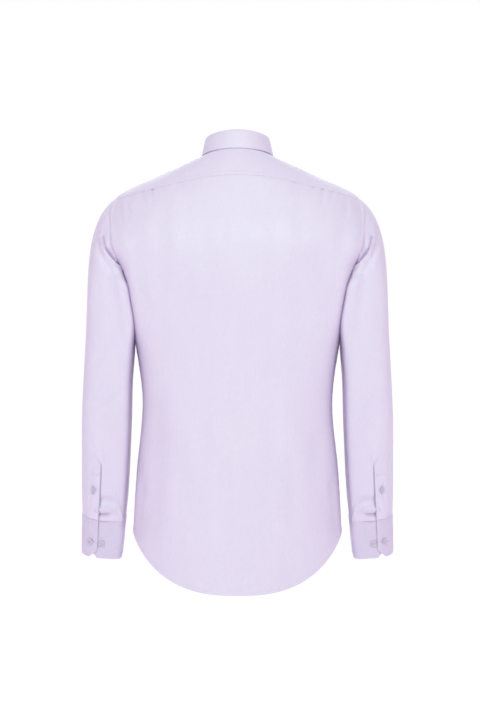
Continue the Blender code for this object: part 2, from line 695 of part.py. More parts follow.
def make_yoke(joint):
    left = even_steps(ARMHOLE_TOP, YOKE_ROWS)
    seam = even_steps(FRONT_YOKE_SEAM, YOKE_SEAM_COLUMNS)
    top = np.concatenate([seam, yoke_neck()[1:], mirrored_places(seam)[::-1][1:]])
    places = patch(back_yoke_seam(), top, left, mirrored_places(left), bottom_fade=1, top_fade=1)
    points, normals = body(places)
    neck = slice(YOKE_SEAM_COLUMNS, YOKE_SEAM_COLUMNS + NECK_COLUMNS + 1)
    normals[-1, neck] = neck_normals(places[-1, neck])
    drawn = drawn_in(points, columns=())
    for flip in (1.0, -1.0):
        fit_to_sleeve(drawn, normals, slice(None), TOP_PLACES, joint, flip)
    rows, columns = points.shape[:2]
    faces = grid_faces(np.arange(rows * columns).reshape(rows, columns).tolist())
    make_cloth("yoke", drawn, drawn - CLOTH * normals, faces)


def make_front(name, joint, under):
    """One front; the one that goes under is worked out as the left one and mirrored."""
    outer = side_edge(FRONT_ARMHOLE)
    neck = front_neck()
    top = np.concatenate([even_steps(FRONT_YOKE_SEAM, YOKE_SEAM_COLUMNS), neck[1:]])
    free_hem = hem_places(lap_edge(np.array([level_at(FRONT_HEM_Z)]))[:, 0])[0]
    rows = np.arange(len(outer))
    levels = np.interp(rows, (0, SIDE_ROWS, rows[-1]), (free_hem[1], FREE_EDGE_LEVEL, NECK_LEVEL))
    free_edge = lap_edge(levels)
    bottom = hem_places(np.linspace(0.0, free_hem[0], FRONT_COLUMNS + 1))
    places = patch(bottom, top, outer, free_edge)
    points, normals = body(places)
    normals[-1, YOKE_SEAM_COLUMNS:] = neck_normals(neck)
    if under:
        flipped = points * np.array([-1.0, 1.0, 1.0])
        flipped_normals = normals * np.array([-1.0, 1.0, 1.0])
        points = sunk_under(flipped, flipped_normals, True) * np.array([-1.0, 1.0, 1.0])
    drawn = drawn_in(points, columns=(-1,))
    drawn[: SIDE_ROWS + 1] = drawn_in(drawn[: SIDE_ROWS + 1], rows=(), columns=(0,))
    fit_to_sleeve(drawn, normals, slice(SIDE_ROWS, None), FRONT_PLACES, joint)
    rows, columns = points.shape[:2]
    faces = grid_faces(np.arange(rows * columns).reshape(rows, columns).tolist())
    make_cloth(name, drawn, drawn - CLOTH * normals, faces, mirror=under)
    return drawn, normals


# ---------------------------------------------------------------- buttons

def read_grid(grid, row, column):
    """A grid's value at a fractional row and column, on its flat faces."""
    r, c = int(row), int(column)
    s, t = row - r, column - c
    upper = grid[r, c] * (1 - t) + grid[r, c + 1] * t
    lower = grid[r + 1, c] * (1 - t) + grid[r + 1, c + 1] * t
    return upper * (1 - s) + lower * s


def make_button(name, seat, facing, radius, mirror=False):
    """A turned button with a raised rim round a lower middle, laid on the cloth at its seat."""
    profile = (
        (0.0, 0.55 * BUTTON_THICK),
        (0.62 * radius, 0.55 * BUTTON_THICK),
        (0.8 * radius, BUTTON_THICK),
        (radius, 0.6 * BUTTON_THICK),
        (0.9 * radius, 0.0),
        (0.0, 0.0),
    )
    mesh = bpy.data.meshes.new(name)
    corners = [(r * MM, 0.0, z * MM) for r, z in profile]
    mesh.from_pydata(corners, [(k, k + 1) for k in range(len(corners) - 1)], [])
    mesh.materials.append(make_material(name, PEARL, 0.3))
    piece = bpy.data.objects.new(name, mesh)
    SHIRT.objects.link(piece)
    turn = piece.modifiers.new("turn", "SCREW")
    turn.steps = turn.render_steps = BUTTON_SIDES
    turn.use_merge_vertices = True
    turn.merge_threshold = 0.00001
    side = Vector((-1.0 if mirror else 1.0, 1.0, 1.0))
    facing = Vector(facing) * side
    piece.location = (Vector(seat) * side + facing.normalized() * BUTTON_GAP) * MM
    piece.rotation_mode = "QUATERNION"
    piece.rotation_quaternion = facing.to_track_quat("Z", "Y")


def make_front_buttons(points, normals, stand_points, stand_normals):
    """Down the centre line of the left front, and one on the stand."""
    row = STAND_ROWS / 2
    across = stand_points[STAND_ROWS // 2, : LAP_COLUMNS + 1, 0]
    column = np.interp(0.0, across, np.arange(LAP_COLUMNS + 1))
    make_button("button_stand", read_grid(stand_points, row, column),
                read_grid(stand_normals, row, column), BUTTON_RADIUS)
    for k in range(FRONT_BUTTONS):
        z = FRONT_BUTTON_TOP_Z - k * FRONT_BUTTON_PITCH
        row = np.interp(z, points[:, -1, 2], np.arange(len(points)))
        near = points[int(row), :, 0]
        column = np.interp(0.0, near[::-1], np.arange(len(near))[::-1])
        make_button(f"button_front_{k + 1}", read_grid(points, row, column),
                    read_grid(normals, row, column), BUTTON_RADIUS)


def make_cuff_buttons(side, points, normals, mirror):
    """Two side by side: one through the upper end, one bare on the end below it."""
    turns = cuff_turns()
    row = CUFF_BUTTON_DROP / CUFF_HEIGHT * CUFF_ROWS
    through, bare = CUFF_BUTTON_TURNS
    places = (("a", through), ("b", bare - 360))
    for letter, turn in places:
        column = np.interp(-turn, -turns, np.arange(len(turns)))
        make_button(f"button_cuff_{side}_{letter}", read_grid(points, row, column),
                    read_grid(normals, row, column), BUTTON_RADIUS, mirror)


def make_gauntlet_button(side, points, normals, mirror):
    row = np.interp(-GAUNTLET_BUTTON_Z, -points[:, TURNS.index(SLIT), 2], np.arange(len(points)))
    column = TURNS.index(SLIT) + 0.5
    facing = read_grid(normals, row, column)
    seat = read_grid(points, row, column) + (GAUNTLET_LIFT + CLOTH) * facing
    make_button(f"button_gauntlet_{side}", seat, facing, SMALL_BUTTON_RADIUS, mirror)


# ---------------------------------------------------------------- the shirt

def empty_the_scene():
    for piece in list(bpy.data.objects):
        bpy.data.objects.remove(piece, do_unlink=True)


def make_shirt():
    sleeve_points, sleeve_normals = sleeve_grid()
    joint = armhole_joint(sleeve_points, sleeve_normals)
    make_back(joint)
    make_yoke(joint)
    front_points, front_normals = make_front("front_left", joint, under=False)
    make_front("front_right", joint, under=True)
    stand_points, stand_normals = make_stand()
    make_leaf()
    make_front_buttons(front_points, front_normals, stand_points, stand_normals)
    cuff_points, cuff_normals = cuff_grid()
    for side, mirror in (("left", False), ("right", True)):
        make_sleeve(f"sleeve_{side}", sleeve_points, sleeve_normals, joint, mirror)
        make_gauntlet(f"gauntlet_{side}", sleeve_points, sleeve_normals, mirror)
        make_cuff(f"cuff_{side}", cuff_points, cuff_normals, mirror)
        make_cuff_buttons(side, cuff_points, cuff_normals, mirror)
        make_gauntlet_button(side, sleeve_points, sleeve_normals, mirror)


empty_the_scene()
SHIRT = bpy.data.collections.new("long_sleeve_dress_shirt")
bpy.context.scene.collection.children.link(SHIRT)
make_shirt()
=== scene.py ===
"""The looks of the long sleeve dress shirt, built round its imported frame.

Every panel is a thin shell on the form of its solid: the same surfaces, read far more finely,
with the body and the sleeves a little squarer, the finer folds, the turned and lapped edges,
and the rows of stitches. The buttons get their holes, rims and thread.

Tables are in millimetres and degrees, in the frame of the part; MM turns them into metres. A
place on the body is (around, level), as in the part: around is 0 at the wearer's left side and
90 at the centre back, and level counts the rows of TORSO_RINGS. Panels are grids whose rows
and columns are numbered as the solid's, and read at fractions of them.
"""

import bpy
import numpy as np
from mathutils import Matrix, Vector


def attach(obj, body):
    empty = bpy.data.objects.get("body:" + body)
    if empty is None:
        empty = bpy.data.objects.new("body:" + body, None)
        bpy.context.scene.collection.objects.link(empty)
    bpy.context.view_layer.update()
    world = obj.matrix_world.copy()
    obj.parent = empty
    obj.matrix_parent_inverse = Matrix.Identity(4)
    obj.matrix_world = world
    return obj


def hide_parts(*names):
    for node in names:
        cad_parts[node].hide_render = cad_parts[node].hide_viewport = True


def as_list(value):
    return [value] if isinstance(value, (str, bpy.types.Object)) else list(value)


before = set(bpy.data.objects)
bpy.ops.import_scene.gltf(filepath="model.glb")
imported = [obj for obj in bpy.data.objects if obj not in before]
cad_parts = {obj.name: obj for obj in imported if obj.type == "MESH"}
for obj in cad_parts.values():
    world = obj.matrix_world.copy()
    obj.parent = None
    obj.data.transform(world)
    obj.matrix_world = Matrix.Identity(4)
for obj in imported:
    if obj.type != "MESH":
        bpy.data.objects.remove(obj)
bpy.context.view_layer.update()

MM = 0.001

# ---------------------------------------------------------------- the part's sizes and tables

STIFF = 2.4
LAP_GAP = 0.6
SIDE_HEM_Z, BACK_HEM_Z, FRONT_HEM_Z, HEM_CURVE = -652, -751, -735, 1.29
FRONT_LAP, LAP_EASE = 15, 30
CUFF_HEIGHT, CUFF_PROUD = 66, 1
SIDE_ROWS, ARMHOLE_ROWS, YOKE_ROWS, HEAD_ROWS = 14, 10, 4, 7
YOKE_SEAM_COLUMNS, NECK_COLUMNS, LEAF_FRONT_COLUMNS, LAP_COLUMNS = 4, 14, 6, 2
BACK_COLUMNS = 2 * YOKE_SEAM_COLUMNS + NECK_COLUMNS
FRONT_COLUMNS = YOKE_SEAM_COLUMNS + LEAF_FRONT_COLUMNS + LAP_COLUMNS
STAND_COLUMNS = 2 * (LAP_COLUMNS + LEAF_FRONT_COLUMNS) + NECK_COLUMNS
BODY_ROWS = SIDE_ROWS + ARMHOLE_ROWS

TORSO_RINGS = (
    # side_z, back_z, front_z, half_width, back_depth, front_depth
    (-780, -780, -780, 183, 131, 128),  # the back's tail hangs a little closer
    (-660, -660, -660, 182, 133, 128),
    (-545, -545, -545, 175.5, 127, 121),
    (-425, -425, -425, 165.5, 117, 115),
    (-310, -310, -312, 180.6, 119, 124),
    (-205, -205, -218, 199.5, 125, 131),
    (-140, -140, -175, 232, 122, 129),
    (-73, -85, -138, 215, 106, 120),
    (-32, -33, -106, 137, 86, 98),
    (0.5, 17, -76, 60.5, 60, 67),
)
FULLNESS = 0.1
# The dressed body is a little flatter at its back and front than its solid, less so at the hem.
DRESSED_FULLNESS, HEM_FULLNESS = 0.25, 0.04
DRESSED_TOP, DRESSED_LOW = 5.2, 3.4  # the levels between which it is flattest
ARMPIT_LEVEL, FREE_EDGE_LEVEL, NECK_LEVEL = 5, 4.9, 9
BACK_ARMHOLE = ((0, 5), (10, 5.1), (17, 5.34), (22, 5.7), (26, 6.1), (25, 6.5), (20, 7))
ARMHOLE_TOP = ((20, 7), (8, 7.06), (-3, 7.08), (-14, 7.05))
FRONT_ARMHOLE = ((0, 5), (-12, 5.12), (-21, 5.45), (-28, 5.85), (-30, 6.3), (-24, 6.75), (-14, 7.05))
BACK_YOKE_SEAM = ((20, 7), (31, 7.15), (41, 7.34), (52, 7.56), (64, 7.77), (77, 7.9), (90, 7.94))
FRONT_YOKE_SEAM = ((-14, 7.05), (-17, 7.5), (-21, 8.1), (-26, 9))
NECK_CORNER, LEAF_END = -26, -86

SLEEVE_RINGS = (
    # z, outer_up, back_down, inner_x, outer_x, middle_y, half_depth
    (-235, 0, 0, 192.2, 261.6, 0, 74),
    (-312, 0, 0, 180.2, 264.6, -2, 70),
    (-388, 0.5, 0.5, 184.2, 268.6, -4, 64),
    (-458, 1, 1, 186.4, 271.8, -7, 58),
    (-533, 2, 2.5, 190.2, 272.8, -12, 51),
    (-580, 3, 4, 193.4, 273, -17, 47),
    (-627, 4.5, 5.5, 197.6, 272.6, -22, 42),
)
SLEEVE_STEPS = 3
SLEEVE_ROWS = HEAD_ROWS + SLEEVE_STEPS * (len(SLEEVE_RINGS) - 1)
CUFF_END = (-627 - CUFF_HEIGHT, 3, 6.5, 204.2, 273.6, -28, 39)
GAUNTLET_EDGE, SLIT, GAUNTLET_MIDDLE, GAUNTLET_OUTSIDE = 79, 71, 58.5, 46
TURNS = (180, 165, 150, 135, 120, 105, 92, 79, 71, 58.5, 46, 31, 13, -6,
         -25, -40, -55, -70.5, -86, -101.5, -117, -132.5, -148, -164, -180)
AROUND_SLEEVE = len(TURNS) - 1
SLIT_TOP_ROW = HEAD_ROWS + 4 * SLEEVE_STEPS
CUFF_SINKS_FROM, CUFF_SINKS_TO = 120, 92
CUFF_TURNS = TURNS[7:-1] + (-180, -195, -210, -225, -240, -255, -268, -281, -289,
                            -301.5, -308)
CUFF_CUT_RUN, CUFF_CUT_RISE = 16, 13.5
CUFF_ROWS = 3

FOLD_RING = (32, 41.5, -47, 51.5, 53, 61)  # the collar's fold, as a row of TORSO_RINGS
ROLL_RADIUS, ROLL_ROWS, LEAF_REST = 2.7, 13, 1.3
LEAF_SECTIONS = (
    # fold_around, edge_around, edge_level
    (-86, -71, 8.02),
    (-70, -60, 8.28),
    (-50, -44, 8.6),
    (-25, -22, 8.86),
    (0, 0, 8.97),
    (30, 30, 8.94),
    (60, 60, 8.9),
    (90, 90, 8.89),
)

# ---------------------------------------------------------------- cloth and stitches

THIN, THICK = 0.8, 1.5  # walls of the body and the sleeves, and of the collar and the cuffs
LAPPED = 0.5  # how far a lapped or turned edge stands up
ARMHOLE_LIFT = 0.25
FINE = np.array([0, 0.7, 1.6, 2.6, 3.6, 4.5, 5.3, 6.1, 6.9, 7.8, 9, 11])
STITCH_LENGTH, STITCH_PITCH, STITCH_RADIUS = 2.1, 2.9, 0.24
# How far rows of stitches lie from the edge, and how wide the lapped seam of the yoke is.
WIDE_STITCH, LEAF_STITCH, SEAM_STITCH, NARROW_STITCH, SEAM_BAND = 5.6, 5.4, 2.2, 2, 6.2

# ---------------------------------------------------------------- folds

# Creases, seen from the back (face 1) or from the front (face -1) and the same on both halves.
# Each runs from its start through its middle to its end. The rise is a ridge, or a trough where
# it is negative, and the lip is the rise beside it, to the left of its way, or to the right
# where it is negative.
BODY_CREASES = (
    # face, start_x, start_z, middle_x, middle_z, end_x, end_z, width, rise, lip
    (1, 146, -48, 146.5, -64, 145, -86, 3, -1.5, 1.1),  # ease under the yoke
    (1, 163, -58, 163, -70, 161, -84, 3, -0.9, 0.6),
    (1, 130, -46, 130, -56, 128, -66, 3.4, -0.7, 0.5),
    (1, 188, -72, 188, -88, 185, -112, 3.6, -1, 0.7),
    (1, 98, -38, 98, -50, 97, -62, 4.5, -0.5, 0.4),
    (1, 163, -556, 168.5, -600, 174, -648, 6, -2.4, 1.3),  # over the side of the hem
    (1, 152, -580, 159, -618, 168, -656, 8, -1.2, 0.7),
    (1, 168, -520, 170, -560, 172, -590, 5, -1.2, 0.7),
    (1, 42.5, -712, 42, -730, 42, -752, 2.4, -1.5, 0.9),  # short creases at the tail
    (1, 118, -650, 120, -670, 124, -690, 5, -0.7, 0.4),
    (1, 60, -330, 58, -420, 66, -520, 20, -1.1, 0.6),  # long soft falls
    (1, 118, -210, 112, -330, 120, -450, 17, -0.8, 0.5),
    (1, 22, -500, 26, -600, 20, -700, 18, -0.8, 0.4),
    (1, 140, -380, 142, -450, 148, -520, 11, -0.9, 0.5),
    (1, 96, -500, 92, -580, 98, -660, 13, -0.7, 0.4),
    (1, 134, -440, 142, -545, 158, -650, 26, -5.4, 1.4),
    (1, 176, -214, 166, -238, 148, -262, 9, -1.4, 0.9),  # from the armpit
    (-1, 176, -196, 140, -226, 96, -246, 8, -3.4, 2),  # from armpit to chest
    (-1, 168, -222, 138, -256, 104, -286, 11, -2.4, 1.4),
    (-1, 188, -120, 176, -150, 168, -176, 8, -2, 1.2),
    (-1, 62, -330, 74, -400, 84, -500, 18, -2.6, 1.4),
    (-1, 120, -392, 96, -424, 58, -436, 8, -2.2, 1.3),  # across the waist
    (-1, 146, -440, 120, -462, 88, -464, 7, -2, 1.2),
    (-1, 30, -232, 44, -262, 48, -300, 8, -1.2, 0.7),
    (-1, 26, -404, 40, -430, 44, -470, 7, -1.2, 0.7),
    (-1, 28, -560, 40, -610, 36, -670, 11, -1.5, 0.8),
    (-1, 162, -560, 168, -604, 174, -648, 6, -2.2, 1.2),
    (-1, 108, -108, 96, -132, 90, -168, 11, -1.4, 0.8),
    (-1, 66, -700, 66, -712, 64, -735, 2.8, -1, 0.6),
)
SLEEVE_CREASES = (
    # face, start_x, start_z, middle_x, middle_z, end_x, end_z, width, rise, lip
    (1, 222, -84, 219.5, -128, 206, -172, 3.2, -2.4, 0),  # folds down the head
    (1, 233, -104, 233, -140, 223, -178, 4, 1.6, 0),
    (1, 243, -122, 235, -166, 211, -206, 5, -2, 1.2),
    (1, 246, -196, 240, -240, 242, -290, 11, -1.8, 1.1),
    (1, 216, -330, 236, -350, 254, -352, 8, -1, 0.6),  # elbow
    (1, 204, -412, 226, -430, 252, -432, 7, -1.7, 1.1),
    (1, 214, -446, 236, -462, 256, -460, 6, -1.3, 0.9),
    (1, 238, -494, 231, -512, 226, -531, 3.2, -1.3, 0.9),  # over the gauntlet
    (1, 246, -490, 241, -502, 236, -515, 3, -0.9, 0.7),
    (1, 250, -598, 229, -597, 213, -600, 7, -4.6, 0),  # into the cuff
    (1, 250, -617, 230, -611, 213, -620, 3.6, 4.4, 0),
    (1, 248, -622, 234, -622.5, 222, -621, 2.8, -6.2, 0),
    (1, 211, -584, 205.3, -608, 199.5, -632, 1.6, 1.3, 0),
    (1, 216, -590, 211, -606, 206, -622, 3, -0.7, 0),
    (-1, 236, -132, 230, -166, 212, -186, 5.5, -5, 3),
    (-1, 246, -166, 240, -206, 222, -228, 8, -2.8, 1.8),
    (-1, 222, -110, 218, -136, 210, -156, 5, -1.8, 1.1),
    (-1, 206, -300, 220, -330, 250, -338, 8, -2, 1.2),
    (-1, 200, -392, 228, -396, 256, -378, 7, -3.2, 2),  # inside of the elbow
    (-1, 202, -428, 230, -444, 262, -426, 7, -4.2, 2.4),
    (-1, 200, -470, 224, -482, 254, -464, 6, -3.2, 1.9),
    (-1, 206, -520, 226, -528, 250, -516, 6, -1.8, 1.1),
    (-1, 222, -588, 224, -608, 223, -629, 3, -1.9, 1.1),
    (-1, 244, -592, 246, -610, 246, -629, 3, -1.6, 1),
    (-1, 207, -580, 206, -602, 206, -629, 3.2, -1.6, 0.9),
)
# The deep fold from the sleeve's head into the armpit: the cloth above it sinks by the depth
# over the reach, then the cloth below it steps out to a lip that fades away.
DRAG_FOLDS = (
    # face, start_x, start_z, middle_x, middle_z, end_x, end_z, reach, depth, lip, lip_reach
    (1, 232, -134, 223.5, -166, 195, -196.5, 2.6, 5.4, 3, 7),
    (-1, 234, -140, 222, -176, 192, -204, 8, 4, 2, 9),
)
STEP_WIDTH = 1.3
# The gauntlet's edge presses the sleeve in beside it.
GAUNTLET_SHADOW = ((1, 236, -530, 238.8, -585, 242.5, -650, 1, -2.9, 0),)
GAUNTLET_LEAN = 3  # the placket's top leans in by this much over its length
GAUNTLET_CREASES = (
    (1, 253, -545, 246, -550, 238, -548, 1.9, -1, 0.8),
    (1, 252, -556, 247, -560, 242, -566, 1.8, -0.9, 0.7),
    (1, 256, -563, 253, -569, 250, -574, 1.8, -0.7, 0.5),
    (1, 253, -586, 255, -591, 258, -596, 2, -0.7, 0.5),
    (1, 244, -590, 245, -602, 244, -616, 3, -0.7, 0.5),
)

# ---------------------------------------------------------------- tools


def smooth(rows, at):
    """A curve through evenly numbered rows, read at any fraction of a row (Catmull-Rom)."""
    rows = np.asarray(rows, float)
    at = np.clip(np.asarray(at, float), 0, len(rows) - 1)
    first = np.minimum(at.astype(int), len(rows) - 2)
    t = (at - first).reshape(at.shape + (1,) * (rows.ndim - 1))
    held = np.concatenate([2 * rows[:1] - rows[1:2], rows, 2 * rows[-1:] - rows[-2:-1]])
    a, b, c, d = (held[first + step] for step in range(4))
    return b + t / 2 * (c - a + t * (2 * a - 5 * b + 4 * c - d + t * (3 * b - a - 3 * c + d)))


def bridge(t, start, leave, end, arrive):
    """A curve between two places that leaves and arrives in these ways (Hermite)."""
    return ((2 * t**3 - 3 * t**2 + 1) * start + (t**3 - 2 * t**2 + t) * leave
            + (3 * t**2 - 2 * t**3) * end + (t**3 - t**2) * arrive)


def unit(vectors):
    return vectors / np.maximum(np.linalg.norm(vectors, axis=-1, keepdims=True), 1e-12)


def ease(t):
    t = np.clip(t, 0, 1)
    return t * t * (3 - 2 * t)


def bell(distance, width):
    return np.exp(-((distance / width) ** 2))


def cos_sin(degrees):
    return np.cos(np.radians(degrees)), np.sin(np.radians(degrees))


def flipped(points):
    return points * np.array([-1, 1, 1])


def grid_normals(points, closed=False):
    """Unit normals of a grid of points, from the differences between its rows and columns."""
    down = np.gradient(points, axis=0)
    if closed:
        across = np.roll(points, -1, axis=1) - np.roll(points, 1, axis=1)
    else:
        across = np.gradient(points, axis=1)
    return unit(np.cross(across, down))


def run_from(points, axis, end=0):
    """How far each point of a grid or a line is from its first or last row (axis 0) or column
    (axis 1), along the points."""
    if end:
        return np.flip(run_from(np.flip(points, axis), axis), axis)
    steps = np.linalg.norm(np.diff(points, axis=axis), axis=-1)
    zero = np.zeros_like(np.take(steps, [0], axis))
    return np.concatenate([zero, np.cumsum(steps, axis=axis)], axis=axis)


FIRST_ROW, LAST_ROW, FIRST_COLUMN, LAST_COLUMN = EDGES = ((0, 0), (0, 1), (1, 0), (1, 1))


def edge_runs(points):
    """How far each point of a grid is from each of its four edges, in the order of EDGES."""
    return [run_from(points, axis, end) for axis, end in EDGES]


def read_at(wanted, run, points):
    """Points read off a line of points, where its run has these values."""
    return np.stack([np.interp(wanted, run, values) for values in points.T], axis=-1)


def along(line, shares):
    """Places at these shares of the length of a line of places on the body."""
    dense = smooth(line, np.linspace(0, len(line) - 1, 40 * len(line)))
    run = run_from(torso(dense[:, 0], dense[:, 1]), 0)
    return read_at(shares * run[-1], run, dense)


def lines(top, per_unit, low=None, high=None):
    """Grid lines from 0 to top, with close ones at a stitched edge: low and high are how many
    millimetres one unit measures there."""
    even = np.linspace(0, top, int(round(top * per_unit)) + 1)
    near = [np.array([0, top])]
    if low:
        near.append(FINE / low)
        even = even[even > FINE[-1] / low + 0.4 / per_unit]
    if high:
        near.append(top - FINE / high)
        even = even[even < top - FINE[-1] / high - 0.4 / per_unit]
    return np.unique(np.round(np.concatenate(near + [even]), 6))


def near_path(points, normals, face, places, reach):
    """The points that a line seen from one face passes near: which they are, their distance
    from it (positive to the left of its way), the share of it passed, and how they face."""
    start, middle, end = np.array(places).reshape(3, 2)
    bend = 2 * middle - (start + end) / 2
    t = np.linspace(0, 1, 21)[:, None]
    path = (1 - t) ** 2 * start + 2 * t * (1 - t) * bend + t**2 * end
    seen = np.stack([np.abs(points[..., 0]), points[..., 2]], axis=-1)
    inside = (seen > path.min(axis=0) - reach) & (seen < path.max(axis=0) + reach)
    near = np.all(inside, axis=-1) & (face * normals[..., 1] > 0)
    here = seen[near]
    steps = np.diff(path, axis=0)
    off = here[:, None] - path[:-1]
    at = np.clip((off * steps).sum(axis=-1) / (steps * steps).sum(axis=-1), 0, 1)
    away = np.linalg.norm(off - at[..., None] * steps, axis=-1)
    nearest = away.argmin(axis=1)
    chosen = (np.arange(len(here)), nearest)
    turned = steps[nearest, 0] * off[chosen][:, 1] - steps[nearest, 1] * off[chosen][:, 0]
    across = away[chosen] * np.where(turned < 0, -1, 1)
    share = (nearest + at[chosen]) / len(steps)
    return near, across, share, ease(face * normals[near][:, 1] * 2.5)


def crease_rise(points, normals, creases):
    """How far each point stands out or in for the creases that pass it."""
    rise = np.zeros(points.shape[:-1])
    for face, *places, width, height, lip in creases:
        near, across, share, facing = near_path(points, normals, face, places, 4 * width)
        shape = height * bell(across, width)
        shape += abs(lip) * bell(across - np.sign(lip) * 1.9 * width, 1.2 * width)
        rise[near] += shape * ease((share + 0.12) / 0.35) * ease((1.12 - share) / 0.35) * facing
    return rise


def drag_rise(points, normals):
    rise = np.zeros(points.shape[:-1])
    for face, *places, reach, depth, lip, lip_reach in DRAG_FOLDS:
        near, across, share, facing = near_path(points, normals, face, places, 3 * lip_reach)
        above = -depth * np.exp(-np.abs(across / reach) ** 1.3)
        over = (depth + lip) * ease(across / STEP_WIDTH) - depth
        past = lip * bell(across - STEP_WIDTH, lip_reach)
        shape = np.where(across < 0, above, np.where(across < STEP_WIDTH, over, past))
        rise[near] += shape * ease(share / 0.16) * facing
    return rise


def swell(u, v, seed, long_u, long_v, height):
    """A gentle unevenness over a panel, from a few seeded waves."""
    draw = np.random.default_rng(seed)
    total = np.zeros(np.broadcast(u, v).shape)
    for _ in range(7):
        a, b = draw.normal(0, 1, 2)
        phase = draw.uniform(0, 2 * np.pi)
        total = total + np.sin(a * 2 * np.pi * u / long_u + b * 2 * np.pi * v / long_v + phase)
    return total * height / 7**0.5


def pucker(run, distance, seed, height=0.32, reach=13):
    """The small gathers that a sewn seam makes beside it."""
    wave = swell(run, 0 * run, seed, 13, 1, height)
    return wave * np.exp(-distance / reach) * ease(distance / 3 + 0.25)


def band(distance, width=7, lift=LAPPED, stitch=WIDE_STITCH):
    """A turned or lapped edge: raised a little as far as its width, dented along its stitches."""
    raised = lift * (1 - ease((distance - width) / 0.9 + 0.5))
    return raised - 0.26 * bell(distance - stitch, 0.75)


# ---------------------------------------------------------------- materials


class Nodes:
    """The node tree of a material or a world, with the steps that fill it."""

    def __init__(self, owner):
        owner.use_nodes = True
        self.tree = owner.node_tree

    def feed(self, node, inputs):
        """Links each input to an output, or sets it to a value."""
        for key, value in inputs.items():
            if isinstance(value, bpy.types.NodeSocket):
                self.tree.links.new(value, node.inputs[key])
            else:
                node.inputs[key].default_value = value

    def put(self, kind, inputs=None, **settings):
        node = self.tree.nodes.new("ShaderNode" + kind)
        for key, value in settings.items():
            setattr(node, key, value)
        self.feed(node, inputs or {})
        return node

    def calc(self, operation, *values):
        return self.put("Math", dict(enumerate(values)), operation=operation).outputs[0]

    def blend(self, *parts):
        """The sum of the outputs, each times its share."""
        total, *others = (self.calc("MULTIPLY", output, share) for output, share in parts)
        for other in others:
            total = self.calc("ADD", total, other)
        return total

    def noise(self, place, scale, detail, **more):
        inputs = {"Vector": place, "Scale": scale, "Detail": detail, **more}
        return self.put("TexNoise", inputs).outputs["Fac"]

    def bump(self, height, strength, depth):
        inputs = {"Height": height, "Strength": strength, "Distance": depth * MM}
        return self.put("Bump", inputs).outputs[0]

    def ramp(self, factor, low, high, low_at=0, high_at=1):
        node = self.put("ValToRGB", {"Fac": factor})
        for element, colour, at in zip(node.color_ramp.elements, (low, high), (low_at, high_at)):
            element.position = at
            element.color = (*colour, 1)
        return node.outputs["Color"]


def make_material(name, look, *tone):
    """A material whose shader takes the inputs that a look works out."""
    material = bpy.data.materials.new(name)
    nodes = Nodes(material)
    nodes.feed(nodes.tree.nodes["Principled BSDF"], look(nodes, *tone))
    return material


LILAC = np.array([0.73, 0.606, 0.82])
LILAC_DEEP = np.array([0.65, 0.52, 0.738])
CUFF_SHADE_TONE = np.array([0.905, 0.88, 0.935])  # painted shade: the cuffs' copy of the cloth is a little darker and more purple than the sleeve's
RIB, YARN = 0.95 * MM, 0.5 * MM


def cloth_look(nodes, tone=1):
    """A fine cotton twill: diagonal ribs, two sets of yarns and a slight unevenness."""

    def waves(place, length):
        return nodes.calc("SINE", nodes.calc("MULTIPLY", place, 2 * np.pi / length))

    cut = nodes.put("UVMap", uv_map="cut").outputs["UV"]
    u, v = nodes.put("SeparateXYZ", {0: cut}).outputs[:2]
    slope = nodes.calc("ADD", u, v)
    ribs = waves(slope, RIB)
    yarn = nodes.calc("MULTIPLY", waves(u, YARN), waves(v, YARN))
    counter = nodes.calc("MULTIPLY", nodes.calc("SUBTRACT", u, v), 75)
    slant = nodes.put("CombineXYZ", {0: nodes.calc("MULTIPLY", slope, 620), 1: counter})
    slub = nodes.noise(slant.outputs[0], 1, 3)
    upright = nodes.put("Mapping", {"Vector": cut, "Scale": (900, 60, 1)})
    streak = nodes.noise(upright.outputs[0], 1, 2)
    broad = nodes.noise(cut, 9, 2)
    mixed = nodes.blend((ribs, 0.07), (yarn, 0.04), (slub, 0.55), (streak, 0.3), (broad, 0.2))
    return {
        "Base Color": nodes.ramp(mixed, LILAC_DEEP * tone, LILAC * tone, 0.3, 0.75),
        "Normal": nodes.bump(nodes.blend((ribs, 0.5), (yarn, 0.3), (slub, 1.2)), 0.35, 0.06),
        "Roughness": nodes.calc("MULTIPLY_ADD", slub, 0.12, 0.46),
        "Specular IOR Level": 1,
        "Sheen Weight": 0.03,
        "Sheen Roughness": 0.4,
    }


def thread_look(nodes):
    fuzz = nodes.noise(nodes.put("TexCoord").outputs["Object"], 3000, 1)
    return {
        "Base Color": nodes.ramp(fuzz, LILAC_DEEP * 0.97, LILAC),
        "Normal": nodes.bump(fuzz, 0.4, 0.05),
        "Roughness": 0.55,
    }


def button_look(nodes):
    """Pale pearl resin with faint swirls."""
    place = nodes.put("TexCoord").outputs["Object"]
    swirl = nodes.noise(place, 260, 4, Distortion=1.6)
    fine = nodes.noise(place, 1400, 2)
    mixed = nodes.calc("MULTIPLY_ADD", fine, 0.2, nodes.calc("MULTIPLY", swirl, 0.8))
    return {
        "Base Color": nodes.ramp(mixed, (0.5, 0.415, 0.565), (0.66, 0.56, 0.725), 0.35, 0.65),
        "Roughness": nodes.calc("MULTIPLY_ADD", fine, 0.15, 0.2),
        "Normal": nodes.bump(fine, 0.1, 0.05),
        "Coat Weight": 0.2,
        "Coat Roughness": 0.12,
    }


CLOTH_MATERIAL = make_material("cloth_twill", cloth_look)
# The cuffs' copy of the cloth, its colour painted darker and more purple: painted shade.
CUFF_SHADED_MATERIAL = make_material("cloth_twill_firm", cloth_look, CUFF_SHADE_TONE)
THREAD_MATERIAL = make_material("thread", thread_look)
BUTTON_MATERIAL = make_material("button_pearl", button_look)

# ---------------------------------------------------------------- meshes


def add_object(name, data):
    added = bpy.data.objects.new(name, data)
    bpy.context.scene.collection.objects.link(added)
    return added


